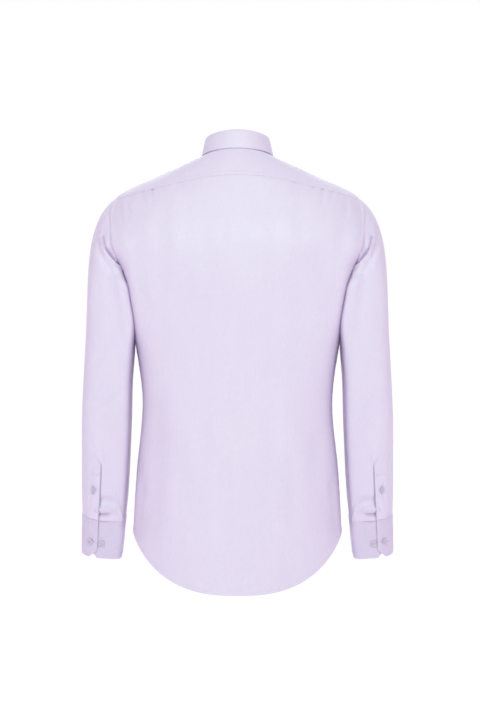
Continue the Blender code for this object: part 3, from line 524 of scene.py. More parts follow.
def build_object(name, points, faces, material, uv=None):
    """An object from points in millimetres. Faces is an array with a row of corners for each."""
    count, size = faces.shape
    used, corners = np.unique(faces, return_inverse=True)
    mesh = bpy.data.meshes.new(name)
    mesh.vertices.add(len(used))
    mesh.vertices.foreach_set("co", (points[used] * MM).astype(np.float32).ravel())
    mesh.loops.add(count * size)
    mesh.loops.foreach_set("vertex_index", corners.astype(np.int32).ravel())
    mesh.polygons.add(count)
    mesh.polygons.foreach_set("loop_start", np.arange(0, count * size, size, dtype=np.int32))
    mesh.polygons.foreach_set("use_smooth", np.ones(count, dtype=bool))
    mesh.update(calc_edges=True)
    if uv is not None:
        layer = mesh.uv_layers.new(name="cut")
        layer.data.foreach_set("uv", (uv.reshape(-1, 2) * MM).astype(np.float32).ravel())
    mesh.set_sharp_from_angle(angle=np.radians(62))
    mesh.materials.append(material)
    piece = add_object(name, mesh)
    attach(piece, "root")
    return piece


def quads(grid):
    return np.stack([grid[:-1, :-1], grid[:-1, 1:], grid[1:, 1:], grid[1:, :-1]], -1).reshape(-1, 4)


def sides_of(faces):
    return np.concatenate([np.stack([faces[:, k], faces[:, (k + 1) % 4]], 1) for k in range(4)])


def shell(name, outer, inner, ids, mirror, material):
    """A closed thin wall between two grids of points, with the cloth's own lengths as its UV.
    The ids number the points, and two that are one point have the same id."""
    rows, columns = outer.shape[:2]
    raw = np.arange(rows * columns).reshape(rows, columns)
    u = run_from(outer, 1)
    u = u - u[:, columns // 2 : columns // 2 + 1]
    v = run_from(outer, 0) + outer[:1, :, 2]
    flat = np.stack([u, v], axis=-1).reshape(-1, 2)
    face, cut = quads(raw if ids is None else ids), quads(raw)
    total = rows * columns
    edges = sides_of(face)
    alone = ~np.isin(edges[:, 0] * total + edges[:, 1], edges[:, 1] * total + edges[:, 0])
    a, b = edges[alone].T
    c, d = sides_of(cut)[alone].T
    faces = np.concatenate([face, face[:, ::-1] + total, np.stack([b, a, a + total, b + total], 1)])
    seen = np.concatenate([flat[cut], flat[cut[:, ::-1]], flat[np.stack([d, c, c, d], 1)]])
    points = np.concatenate([outer.reshape(-1, 3), inner.reshape(-1, 3)])
    if mirror:
        points, faces, seen = flipped(points), faces[:, ::-1], seen[:, ::-1]
    return build_object(name, points, faces, material, seen)


def make_cloth(node, faces, flat, area, held, rests_on, mirror=False, ids=None,
               material=CLOTH_MATERIAL):
    """A panel between its outer and its inner face, in the place of its solid."""
    piece = shell(f"cloth_{node}", *faces, ids, mirror, material)
    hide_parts(node)
    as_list(rests_on)


def wall_faces(points, normals, outer_rise, inner_rise):
    """A wall's outer and inner face, which stand out from the points by these rises."""
    return [points + np.atleast_1d(rise)[..., None] * normals for rise in (outer_rise, inner_rise)]


# Stitches gather here from every panel and become one piece.
STITCHES = []
HEXAGON = [(np.cos(k * np.pi / 3), np.sin(k * np.pi / 3)) for k in range(6)]


def stitch(path, normals, mirror=False):
    """A row of stitches along a path on the cloth."""
    run = run_from(path, 0)
    count = int(run[-1] / STITCH_PITCH)
    starts = (np.arange(count) + 0.5 * (run[-1] / STITCH_PITCH - count)) * STITCH_PITCH
    a, b = read_at(starts, run, path), read_at(starts + STITCH_LENGTH, run, path)
    up = unit(read_at(starts + STITCH_LENGTH / 2, run, normals))
    if mirror:
        a, b, up = flipped(a), flipped(b), flipped(up)
    STITCHES.append((a, b, up))


def line_at(points, distance, value):
    """The line on a grid at one distance from its first row."""
    numbers = np.arange(len(points))
    found = []
    for column in range(points.shape[1]):
        at = np.interp(value, distance[:, column], numbers)
        found.append(read_at(at, numbers, points[:, column]))
    return np.array(found)


def edge_stitch(points, normals, edges, inset, mirror=False, part=slice(None)):
    """Stitches beside these edges of a grid, or beside a part of each."""
    for axis, end in edges:
        grids = (points, normals)
        if axis:
            grids = [grid.transpose(1, 0, 2) for grid in grids]
        if end:
            grids = [grid[::-1] for grid in grids]
        near = [grid[:40, part] for grid in grids]
        distance = run_from(near[0], 0)
        path, up = (line_at(grid, distance, inset) for grid in near)
        stitch(path, up, mirror)


def make_stitches():
    """Every stitch as a small spindle that lies half in the cloth."""
    a, b, up = (np.concatenate([rows[k] for rows in STITCHES]) for k in range(3))
    side = unit(np.cross(up, unit(b - a)))
    points = [a - 0.06 * up]
    for share in (0.22, 0.78):
        middle = a + (b - a) * share + 0.03 * up
        points += [middle + STITCH_RADIUS * (x * side + 0.8 * y * up) for x, y in HEXAGON]
    points.append(b - 0.06 * up)
    points = np.stack(points, axis=1)
    faces = []
    for k in range(6):
        n = (k + 1) % 6
        faces += [(0, 1 + n, 1 + k), (1 + k, 1 + n, 7 + n), (1 + k, 7 + n, 7 + k), (7 + k, 7 + n, 13)]
    faces = (np.arange(len(a))[:, None, None] * 14 + np.array(faces)[None]).reshape(-1, 3)
    piece = build_object("stitching", points.reshape(-1, 3), faces, THREAD_MATERIAL)


# ---------------------------------------------------------------- the body's surface


def body_ring(around, ring, full):
    """Points on a ring of the body. It has a height and a depth of its own at its back and its
    front, and it is flatter there than a plain oval, by how full it is."""
    side_z, back_z, front_z, half_width, back_depth, front_depth = ring
    cos, sin = cos_sin(around)
    end_z = np.where(sin > 0, back_z, front_z)
    depth = np.where(sin > 0, back_depth, front_depth)
    x = half_width * cos * (1 + full * sin**2)
    y = depth * sin * (1 + full * cos**2)
    return np.stack([x, y, side_z * cos**2 + end_z * sin**2], axis=-1)


def torso(around, level):
    full = DRESSED_FULLNESS + (FULLNESS - DRESSED_FULLNESS) * ease((level - DRESSED_TOP) / 2.6)
    full = full + (HEM_FULLNESS - DRESSED_FULLNESS) * ease((DRESSED_LOW - level) / DRESSED_LOW)
    return body_ring(around, np.moveaxis(smooth(TORSO_RINGS, level), -1, 0), full)


def torso_normal(around, level):
    step_around, step_level = 0.5, 0.01
    low = np.minimum(level, NECK_LEVEL - step_level)
    turn = torso(around + step_around, low) - torso(around - step_around, low)
    rise = torso(around, low + step_level) - torso(around, low - step_level)
    return unit(np.cross(turn, rise))


def patch(bottom, top, left, right, s, t, bottom_fade=2, top_fade=3):
    """The body's points and normals in a patch with these four edges, at the shares s across it
    and t along it."""
    s, t = s[:, None], t[:, None, None]
    bottom_bow = bottom - ((1 - s) * bottom[0] + s * bottom[-1])
    top_bow = top - ((1 - s) * top[0] + s * top[-1])
    across = (1 - s) * left[:, None] + s * right[:, None]
    places = across + (1 - t) ** bottom_fade * bottom_bow + t**top_fade * top_bow
    around, level = places[..., 0], places[..., 1]
    return torso(around, level), torso_normal(around, level)


LEVELS = np.linspace(0, NECK_LEVEL, 900)


def level_at(z):
    """The level that has this height at the body's side."""
    return np.interp(z, smooth(TORSO_RINGS, LEVELS)[:, 0], LEVELS)


def hem_places(arounds):
    share = np.abs(np.abs(arounds) - 90) / 90
    low = np.where(arounds > 0, BACK_HEM_Z, FRONT_HEM_Z)
    lift = (1 - np.cos(np.pi * share**HEM_CURVE)) / 2
    return np.stack([arounds, level_at(low + (SIDE_HEM_Z - low) * lift)], axis=-1)


def lap_edge(levels):
    half_width = smooth(TORSO_RINGS, levels)[:, 3] * (1 + FULLNESS)
    return np.stack([-90 - np.degrees(np.arcsin(FRONT_LAP / half_width)), levels], axis=-1)


def mirrored_places(places):
    return np.stack([180 - places[..., 0], places[..., 1]], axis=-1)


def both_halves(columns, places):
    """Places of the left half, mirrored in the columns past the centre back."""
    return np.where((columns > BACK_COLUMNS / 2)[:, None], mirrored_places(places), places)


def side_edge(armhole, rows):
    """The side seam from the hem up, and then the armhole up to the yoke."""
    hem = level_at(SIDE_HEM_Z)
    seam = ((0, hem), (0, (hem + ARMPIT_LEVEL) / 2), (0, ARMPIT_LEVEL))
    low = along(seam, np.minimum(rows / SIDE_ROWS, 1))
    high = along(armhole, np.maximum(rows - SIDE_ROWS, 0) / ARMHOLE_ROWS)
    return np.where((rows <= SIDE_ROWS)[:, None], low, high)


def back_yoke_seam(columns):
    near = np.minimum(columns, BACK_COLUMNS - columns)
    return both_halves(columns, along(BACK_YOKE_SEAM, near / (BACK_COLUMNS / 2)))


def neck_arounds(columns):
    """Columns of the stand, from the left front's free edge round the back to the right's."""
    turns = (lap_edge(np.array([NECK_LEVEL]))[0, 0], -180 - LEAF_END, LEAF_END, NECK_CORNER)
    at = (0, 1, LAP_COLUMNS, LAP_COLUMNS + LEAF_FRONT_COLUMNS)
    turns += tuple(180 - turn for turn in turns[::-1])
    at += tuple(STAND_COLUMNS - column for column in at[::-1])
    return np.interp(columns, at, turns)


def places_at_neck(arounds):
    return np.stack([arounds, np.full_like(arounds, NECK_LEVEL)], axis=-1)


def yoke_top(columns):
    seam = YOKE_SEAM_COLUMNS
    near = np.minimum(columns, BACK_COLUMNS - columns)
    front = both_halves(columns, along(FRONT_YOKE_SEAM, np.minimum(near / seam, 1)))
    arounds = np.interp(columns, (seam, BACK_COLUMNS - seam), (NECK_CORNER, 180 - NECK_CORNER))
    return np.where((near < seam)[:, None], front, places_at_neck(arounds))


def front_top(columns):
    seam = along(FRONT_YOKE_SEAM, np.minimum(columns / YOKE_SEAM_COLUMNS, 1))
    stand = LAP_COLUMNS + LEAF_FRONT_COLUMNS - (columns - YOKE_SEAM_COLUMNS)
    neck = places_at_neck(neck_arounds(stand))
    return np.where((columns < YOKE_SEAM_COLUMNS)[:, None], seam, neck)


def sleeve_seam(columns):
    back = along(BACK_ARMHOLE, np.clip(columns / ARMHOLE_ROWS, 0, 1))
    top = along(ARMHOLE_TOP, np.clip((columns - ARMHOLE_ROWS) / YOKE_ROWS, 0, 1))
    front = along(FRONT_ARMHOLE, np.clip((AROUND_SLEEVE - columns) / ARMHOLE_ROWS, 0, 1))
    upper = np.where((columns < ARMHOLE_ROWS)[:, None], back, top)
    return np.where((columns > ARMHOLE_ROWS + YOKE_ROWS)[:, None], front, upper)


# ---------------------------------------------------------------- the body's panels

PLACKET_STITCH = 31  # from the front's free edge


def sunk_under(points, normals, where):
    """The right side's lap, let in under the left side's."""
    depth = ease((points[..., 0] + FRONT_LAP + LAP_EASE) / LAP_EASE) * (STIFF + LAP_GAP)
    return points - np.where(where, depth, 0)[..., None] * normals


def dress(node, points, normals, relief, *cut, mirror=False):
    """Builds a panel's thin wall, moved out by its relief, and returns its outer face. The cut
    is passed on to make_cloth, which does not use it."""
    faces = wall_faces(points, normals, relief, np.minimum(relief, relief * 0.3 + 0.1) - THIN)
    make_cloth(node, faces, *cut, mirror)
    return faces[0]


def make_back():
    rows = lines(BODY_ROWS, 8, low=30)
    columns = lines(BACK_COLUMNS, 6, low=22, high=22)
    across = columns / BACK_COLUMNS
    left = side_edge(BACK_ARMHOLE, rows)
    points, normals = patch(hem_places(across * 180), back_yoke_seam(columns), left,
                            mirrored_places(left), across, rows / BODY_ROWS)
    hem, top, left_run, right_run = edge_runs(points)
    sides = np.minimum(left_run, right_run)
    points[..., 1] += armpit_fill(points) + side_fill(points)
    relief = crease_rise(points, normals, BODY_CREASES)
    inside = ease(sides / 30) * ease(top / 30) * ease(hem / 30)
    relief += swell(points[..., 0], points[..., 2], 3, 130, 420, 0.8) * inside
    relief += band(hem) + pucker(left_run, hem, 5, 0.3, 9)
    gathers = np.where(rows[:, None] > SIDE_ROWS, 0.5, 0.34)
    relief += band(sides, lift=ARMHOLE_LIFT) + pucker(hem, sides, 7, gathers)
    relief += pucker(left_run, top, 9, 0.32, 16)
    outer = dress("back", points, normals, relief, (0.576, 0.722), 0.331, "hung", ["cloth_yoke"])
    edge_stitch(outer, normals, (FIRST_ROW, FIRST_COLUMN, LAST_COLUMN), WIDE_STITCH)


def make_yoke():
    rows = lines(YOKE_ROWS, 9, low=22, high=22)
    columns = lines(BACK_COLUMNS, 7, low=20, high=20)
    left = along(ARMHOLE_TOP, rows / YOKE_ROWS)
    points, normals = patch(back_yoke_seam(columns), yoke_top(columns), left, mirrored_places(left),
                            columns / BACK_COLUMNS, rows / YOKE_ROWS, 1, 1)
    bottom, top, left_run, right_run = edge_runs(points)
    sides = np.minimum(left_run, right_run)
    relief = swell(points[..., 0], points[..., 1], 13, 120, 120, 0.4)
    relief *= ease(bottom / 20) * ease(top / 20)
    seam_edge = (SEAM_BAND, LAPPED, SEAM_STITCH)
    relief += band(bottom, *seam_edge) + pucker(left_run, bottom, 11, 0.22, 10)
    front_seam = np.minimum(columns, BACK_COLUMNS - columns) < YOKE_SEAM_COLUMNS
    relief += np.where(front_seam, band(top, *seam_edge), 0)
    relief += band(sides, lift=ARMHOLE_LIFT) + pucker(bottom, sides, 15, 0.3)
    outer = dress("yoke", points, normals, relief, (0.47, 0.153), 0.0462, "draped",
                  ["cloth_collar_stand"])
    edge_stitch(outer, normals, [FIRST_ROW], SEAM_STITCH)
    seam = np.count_nonzero(columns <= YOKE_SEAM_COLUMNS)
    for part in (slice(0, seam), slice(len(columns) - seam, None)):
        edge_stitch(outer, normals, [LAST_ROW], SEAM_STITCH, part=part)
    edge_stitch(outer, normals, (FIRST_COLUMN, LAST_COLUMN), WIDE_STITCH)


def make_front(side, under):
    """One front. The right one, under the left, is built as a left one and mirrored."""
    rows = lines(BODY_ROWS, 8, low=30)
    columns = lines(FRONT_COLUMNS, 7, low=22, high=17)
    across = columns / FRONT_COLUMNS
    low = hem_places(lap_edge(np.array([level_at(FRONT_HEM_Z)]))[:, 0])[0]
    levels = np.interp(rows, (0, SIDE_ROWS, BODY_ROWS), (low[1], FREE_EDGE_LEVEL, NECK_LEVEL))
    points, normals = patch(hem_places(across * low[0]), front_top(columns),
                            side_edge(FRONT_ARMHOLE, rows), lap_edge(levels), across, rows / BODY_ROWS)
    hem, top, side_run, free = edge_runs(points)
    relief = crease_rise(points, normals, BODY_CREASES) * ease(free / 28)
    inside = ease(side_run / 30) * ease(top / 30) * ease(hem / 30) * ease(free / 30)
    relief += swell(points[..., 0], points[..., 2], 23 + under, 130, 320, 0.9) * inside
    relief += band(hem) + pucker(side_run, hem, 25 + under, 0.3, 9)
    relief += band(side_run, lift=ARMHOLE_LIFT) + pucker(hem, side_run, 27 + under, 0.4)
    relief += pucker(side_run, top, 29 + under, 0.2, 12)
    relief -= 0.22 * bell(free - PLACKET_STITCH, 1.6)
    if under:
        points = flipped(sunk_under(flipped(points), flipped(normals), True))
    outer = dress(f"front_{side}", points, normals, relief, (0.305, 0.756), 0.178, "hung",
                  ["cloth_yoke"], mirror=under)
    edge_stitch(outer, normals, (FIRST_ROW, FIRST_COLUMN), WIDE_STITCH, under)
    edge_stitch(outer, normals, [LAST_COLUMN], PLACKET_STITCH, under)


# ---------------------------------------------------------------- sleeves

SIDES = (("left", False), ("right", True))
# The arm is flatter at its back and front than a plain oval, but for the outer half of the
# forearm, where the placket lies on its solid.
INNER_FULLNESS, OUTER_FULLNESS = 0.6, 0.26
FULL_ABOVE, PLAIN_BELOW = -430, -560
# The way in which the sleeve's head leaves the armhole: more outwards at the shoulder.
HEAD_OUTWARDS, HEAD_SWING, HEAD_SIDEWAYS = 0.48, 0.34, 0.15


def arm_oval(turns, ring):
    """Points at these turns round the arm: 0 is its outer side, 90 its back."""
    z, outer_up, back_down, inner_x, outer_x, middle_y, half_depth = ring
    cos, sin = cos_sin(turns)
    outer_full = OUTER_FULLNESS * ease((z - PLAIN_BELOW) / (FULL_ABOVE - PLAIN_BELOW))
    full = np.where(cos < 0, INNER_FULLNESS, outer_full)
    x = (inner_x + outer_x) / 2 + (outer_x - inner_x) / 2 * cos * (1 + full * sin**2)
    y = middle_y + half_depth * sin * (1 + full * cos**2)
    return np.stack([x, y, z + outer_up * cos - back_down * sin], axis=-1)


def sleeve_ring(turns, rings):
    return arm_oval(turns, np.moveaxis(smooth(SLEEVE_RINGS, rings), -1, 0))


def sleeve_surface(rows, columns):
    """The sleeve's points: its head from the armhole down, and then the rings."""
    turns = smooth(TURNS, columns)
    seam = torso(*sleeve_seam(columns).T)
    cos, sin = cos_sin(turns)
    outwards = HEAD_OUTWARDS + HEAD_SWING * cos
    leave = unit(np.stack([outwards, HEAD_SIDEWAYS * sin, -np.sqrt(1 - outwards**2)], axis=-1))
    first = sleeve_ring(turns, 0 * turns)
    arrive = unit(sleeve_ring(turns, 0 * turns + 0.1) - first)
    reach = np.linalg.norm(first - seam, axis=-1, keepdims=True)
    t = (rows[rows < HEAD_ROWS] / HEAD_ROWS)[:, None, None]
    head = bridge(t, seam, leave * reach, first, arrive * reach)
    turns, rings = np.meshgrid(turns, (rows[rows >= HEAD_ROWS] - HEAD_ROWS) / SLEEVE_STEPS)
    return np.concatenate([head, sleeve_ring(turns, rings)])


ARMPIT_FILL = (
    # z, x, inwards, outwards, fill, ridge_x, ridge
    (-346, 178, 24, 15, 0, 178, 0),
    (-306, 182.5, 28, 15, 8, 182.5, 0),
    (-270, 186.5, 31, 15, 12, 187.5, 0),
    (-235, 191, 34, 15, 14, 192, 0),
    (-205, 198, 34, 15, 19, 196, 1),
    (-185, 205, 32, 16, 26, 206.5, 1.5),
    (-160, 212, 31, 16, 21, 213, 3.4),
    (-126, 216, 30, 16, 8, 217.5, 4),
    (-92, 214, 34, 16, 0, 218, 2),
    (-76, 212, 34, 16, 0, 217, 0),
)
RIDGE_WIDTH = 4.2
# The body's side, where the sleeve lies against it: how far out it is fullest at these heights.
FULL_SIDE = ((-346, 172), (-306, 175), (-270, 178.5), (-235, 183), (-205, 189))
SIDE_FILL, SIDE_FILL_WIDTH = 9, 13
# Between these heights the sleeve lies on the body, as far out as PART_X.
ARMPIT_Z, PART_Z, PART_X = -182, -336, 216


def armpit_fill(points):
    """How far the cloth stands out over the solids beside the armhole's lower back and below it,
    where the sleeve meets the body."""
    x, y, z = np.abs(points[..., 0]), points[..., 1], points[..., 2]
    heights, *columns = np.array(ARMPIT_FILL).T
    middle, inwards, outwards, fill, ridge_x, ridge = (np.interp(z, heights, column) for column in columns)
    past = x - middle
    rise = fill * bell(past, np.where(past < 0, inwards, outwards))
    rise = rise + ridge * bell(x - ridge_x, RIDGE_WIDTH)
    return rise * ease((y - 8) / 25)


def beside_armpit(points, share):
    """The share, faded out but where sleeve and body lie against each other below the armpit."""
    z = points[..., 2]
    return share * ease((ARMPIT_Z - z) / 26) * ease((z - PART_Z) / 60) * ease((points[..., 1] + 12) / 40)


def side_fill(points):
    """How far the body's back stands out at its side, under the sleeve."""
    x, y, z = np.abs(points[..., 0]), points[..., 1], points[..., 2]
    middle = np.interp(z, *np.array(FULL_SIDE).T)
    return beside_armpit(points, SIDE_FILL * bell(x - middle, SIDE_FILL_WIDTH) * ease((y - 8) / 25))


SLIT_WIDTH = 1
BODY_SINK = 7.5  # how far the sleeve's inner side moves towards the body below the armpit
CUFF_PLEATS = ((33, 1.3), (20, 1), (-30, 0.8), (-62, 1), (-100, 0.7), (104, 0.8))  # turn, depth


def make_sleeves():
    """Both sleeves, each a tube that is slit above its cuff and joined along its other rows."""
    rows = np.unique(np.concatenate([lines(SLEEVE_ROWS, 8, low=14), np.arange(1.5, 6.5, 1 / 16)]))
    columns = np.unique(np.concatenate([np.arange(0, 10, 1 / 11), np.arange(10, AROUND_SLEEVE, 1 / 6)]))
    points = sleeve_surface(rows, columns)
    points[..., 1] += armpit_fill(points)
    facing_body = ease(grid_normals(points, closed=True)[..., 0] * -2.2)
    facing_body = facing_body * ease((PART_X - points[..., 0]) / 12)
    points[..., 0] -= BODY_SINK * beside_armpit(points, facing_body)
    normals = grid_normals(points, closed=True)
    start, end, girth, _ = edge_runs(points)
    relief = crease_rise(points, normals, SLEEVE_CREASES) + drag_rise(points, normals)
    relief *= ease((start + 5) / 12)
    relief += crease_rise(points, normals, GAUNTLET_SHADOW)
    closing = np.linalg.norm(points[:, -1] - points[:, 0], axis=-1)[:, None]
    wrap = 2 * np.pi * girth / (girth[:, -1:] + closing)
    draw = np.random.default_rng(41)
    waves = np.zeros_like(relief)
    for k in range(1, 6):
        phase, slope = draw.uniform(0, 2 * np.pi), draw.normal(0, 1 / 90)
        waves += np.sin(k * wrap + slope * points[..., 2] + phase) / k**0.5
    relief += 0.42 * waves * ease(start / 40) * ease(end / 40)
    gathers = np.cos(wrap * 17 + 2 * np.sin(wrap * 3)) * np.exp(-start / 14) * ease(start / 3)
    relief += 0.3 * gathers + 0.9 * np.exp(-end / 2.5)
    for turn, depth in CUFF_PLEATS:
        at = np.interp(-turn, -np.array(TURNS), np.arange(len(TURNS)))
        middle = np.interp(at, columns, girth[-1])
        relief -= depth * bell(girth - middle, 4) * np.exp(-end / 26)
    order = np.roll(np.arange(len(columns)), -np.searchsorted(columns, TURNS.index(SLIT) - 1e-6))
    order = np.append(order, order[0])
    above = np.searchsorted(rows, SLIT_TOP_ROW - 1e-6) + 1
    faces = []
    for face in wall_faces(points, normals, relief, np.minimum(relief, relief * 0.6) - THIN):
        opened = face[:, order]
        for edge, inward in ((0, 1), (-1, -2)):
            pull = unit(opened[above:, inward] - opened[above:, edge])
            opened[above:, edge] += pull * SLIT_WIDTH / 2
        faces.append(opened)
    ids = np.arange(opened[..., 0].size).reshape(opened.shape[:2])
    ids[:above, -1] = ids[:above, 0]
    for side, mirror in SIDES:
        make_cloth(f"sleeve_{side}", faces, (0.465, 0.573), 0.183, "hung",
                   ["cloth_back", "cloth_yoke", f"cloth_front_{side}"], mirror, ids)


def gauntlet_rise(turn):
    """How far, in rows, the gauntlet's pointed top stands above the slit's top."""
    tip = (SLIT + GAUNTLET_MIDDLE) / 2
    outer_half = (turn - GAUNTLET_OUTSIDE) / (tip - GAUNTLET_OUTSIDE)
    return np.clip(np.where(turn > tip, (GAUNTLET_EDGE - turn) / (GAUNTLET_EDGE - tip), outer_half), 0, 1)


def make_gauntlets():
    """The pointed placket strips, each read off the sleeve from above the slit to the cuff."""
    edge, outside = TURNS.index(GAUNTLET_EDGE), TURNS.index(GAUNTLET_OUTSIDE)
    columns = edge + lines(outside - edge, 10, low=7.5, high=7.5)
    shares = lines(6, 9, low=20, high=20) / 6
    tops = SLIT_TOP_ROW - gauntlet_rise(smooth(TURNS, columns))
    fine = np.linspace(SLIT_TOP_ROW - 3, SLEEVE_ROWS, 140)
    surface = sleeve_surface(fine, np.append(columns, columns[-1] + 0.02))
    at = tops[None] + (SLEEVE_ROWS - 0.02 - tops[None]) * shares[:, None]

    def read(grid):
        return np.stack([read_at(at[:, c], fine, grid[:, c]) for c in range(len(columns))], axis=1)

    points, normals = read(surface), unit(read(grid_normals(surface)))
    lean = ease((outside - columns) / (outside - edge) * 1.6) * (1 - shares[:, None])
    points[..., 0] -= GAUNTLET_LEAN * lean
    top, _, left, right = edge_runs(points)
    sides = np.minimum(left, right)
    relief = 1.7 - 0.2 * bell(np.minimum(sides, top) - NARROW_STITCH, 0.7)
    relief = relief + swell(top, sides, 51, 34, 20, 0.22)
    relief += crease_rise(points, normals, GAUNTLET_CREASES)
    faces = wall_faces(points, normals, relief, 0.25)
    bar = np.searchsorted(shares, 0.2)
    for side, mirror in SIDES:
        make_cloth(f"gauntlet_{side}", faces, (0.026, 0.122), 0.0029, "hung", [f"cloth_sleeve_{side}"],
                   mirror)
        edge_stitch(faces[0], normals, (FIRST_COLUMN, LAST_COLUMN, FIRST_ROW), NARROW_STITCH, mirror)
        stitch(faces[0][bar], normals[bar], mirror)


# ---------------------------------------------------------------- cuffs and collar


def firm_edge(edge, inset, dent, rounding):
    """The relief of a stiffened piece: its edge is rounded off, and its stitches sink in."""
    return -dent * bell(edge - inset, 0.8) - rounding * np.exp(-edge / 0.5)


def make_cuffs():
    """Both cuffs, each with cut corners and with one end sunk under the other."""
    columns = lines(len(CUFF_TURNS) - 1, 6, low=6, high=6)
    turns = smooth(CUFF_TURNS, columns)
    top = sleeve_ring(turns, 0 * turns + len(SLEEVE_RINGS) - 1)
    end = arm_oval(turns, CUFF_END)
    run = run_from(end, 0)
    corner = np.maximum(1 - np.minimum(run, run[-1] - run) / CUFF_CUT_RUN, 0)
    rows = lines(CUFF_ROWS, 10, low=22, high=22) / CUFF_ROWS
    points = top + (end - top) * (rows[:, None] * (1 - corner * CUFF_CUT_RISE / CUFF_HEIGHT))[..., None]
    normals = grid_normals(points)
    under = ease((CUFF_SINKS_FROM - 360 - turns) / (CUFF_SINKS_FROM - CUFF_SINKS_TO))
    points = points + (CUFF_PROUD - under * (STIFF + LAP_GAP))[:, None] * normals
    upper, _, left, _ = runs = edge_runs(points)
    edge = np.min(runs, axis=0)
    relief = firm_edge(edge, WIDE_STITCH, 0.3, 0.5)
    relief += swell(left, upper, 61, 70, 60, 0.35) * ease(edge / 10)
    faces = wall_faces(points, normals, relief, -THICK - 0.3)
    # Each cuff takes the copy of the cloth whose colour carries painted shade.
    for side, mirror in SIDES:
        make_cloth(f"cuff_{side}", faces, (0.292, 0.067), 0.019, "hung", [f"cloth_sleeve_{side}"], mirror,
                   material=CUFF_SHADED_MATERIAL)
        edge_stitch(faces[0], normals, EDGES, WIDE_STITCH, mirror)


def stand_surface(rows, columns):
    """The collar stand, rows 0 at the neck seam to 1 at the fold."""
    arounds = neck_arounds(columns)
    bottom = torso(arounds, np.full_like(arounds, NECK_LEVEL))
    t = rows[:, None, None]
    points = (1 - t) * bottom + t * body_ring(arounds, FOLD_RING, FULLNESS)
    return points, grid_normals(points), arounds


def make_stand():
    columns = lines(STAND_COLUMNS, 6, low=8, high=8)
    points, normals, arounds = stand_surface(lines(2, 9, low=20, high=20) / 2, columns)
    points = sunk_under(points, normals, np.broadcast_to(arounds > 180, points.shape[:2]))
    bottom = run_from(points, 0)
    relief = 0.35 - 0.25 * bell(bottom - NARROW_STITCH, 0.7)
    relief = relief + swell(run_from(points, 1), bottom, 71, 60, 40, 0.15)
    faces = wall_faces(points, normals, relief, -THICK)
    make_cloth("collar_stand", faces, (0.472, 0.033), 0.0125, "folded", ["cloth_yoke"])
    edge_stitch(faces[0], normals, [FIRST_ROW], NARROW_STITCH)


def make_leaf():
    """The leaf rolls over at the stand's top, and then falls to its edge on the body."""
    columns = LAP_COLUMNS + lines(STAND_COLUMNS - 2 * LAP_COLUMNS, 8, low=14, high=14)
    points, normals, arounds = stand_surface(np.linspace(0, 1, 5), columns)
    up, out = unit(points[-1] - points[0]), normals[-1]
    start = points[-1] - STIFF / 2 * out
    turns = np.radians(np.linspace(0, 180, ROLL_ROWS))
    rows = [start + ROLL_RADIUS * ((1 - np.cos(turn)) * out + np.sin(turn) * up) for turn in turns]
    rolled = rows[-1]
    folded = np.where(arounds > 90, 180 - arounds, arounds)
    sections = np.array(LEAF_SECTIONS)
    found = smooth(sections, np.interp(folded, sections[:, 0], np.arange(len(sections))))
    edge = torso(found[:, 1], found[:, 2]) + LEAF_REST * torso_normal(found[:, 1], found[:, 2])
    edge[arounds > 90, 0] *= -1
    reach = np.linalg.norm(edge - rolled, axis=-1, keepdims=True)
    for t in lines(5, 6, high=8.5)[1:] / 5:
        rows.append(bridge(t, rolled, -up * reach, edge, edge - rolled))
    middle = np.stack(rows)
    facing = grid_normals(middle)
    facing[0] = -out
    _, low, left, right = edge_runs(middle)
    falling = np.arange(len(middle))[:, None] >= ROLL_ROWS
    edge_run = np.minimum(low, np.where(falling, np.minimum(left, right), 99))
    relief = firm_edge(edge_run, LEAF_STITCH, 0.32, 0.4)
    relief += swell(left, low, 81, 70, 60, 0.25) * ease(low / 12)
    faces = wall_faces(middle, facing, STIFF / 2 + relief, STIFF / 2 - THICK)
    make_cloth("collar_leaf", faces, (0.495, 0.083), 0.0206, "folded", ["cloth_collar_stand"])
    edge_stitch(faces[0], facing, [LAST_ROW], LEAF_STITCH)
    part = slice(ROLL_ROWS + 1, None)
    edge_stitch(faces[0], facing, (FIRST_COLUMN, LAST_COLUMN), LEAF_STITCH, part=part)


# ---------------------------------------------------------------- buttons

# The turned outline of a button, in shares of its radius and its thickness.
BUTTON_OUTLINE = ((0, 0.52), (0.5, 0.5), (0.6, 0.55), (0.68, 0.84), (0.78, 1), (0.88, 0.98), (0.96, 0.82),
                  (1, 0.58), (0.985, 0.3), (0.9, 0.08), (0.75, 0), (0, 0))
HOLE_AT, HOLE_RADIUS = 0.2, 0.115  # shares of the button's radius
ARM_X, ARM_Y = 238, -22  # the forearm's middle, from which the buttons at the wrist face away
THREADS = []


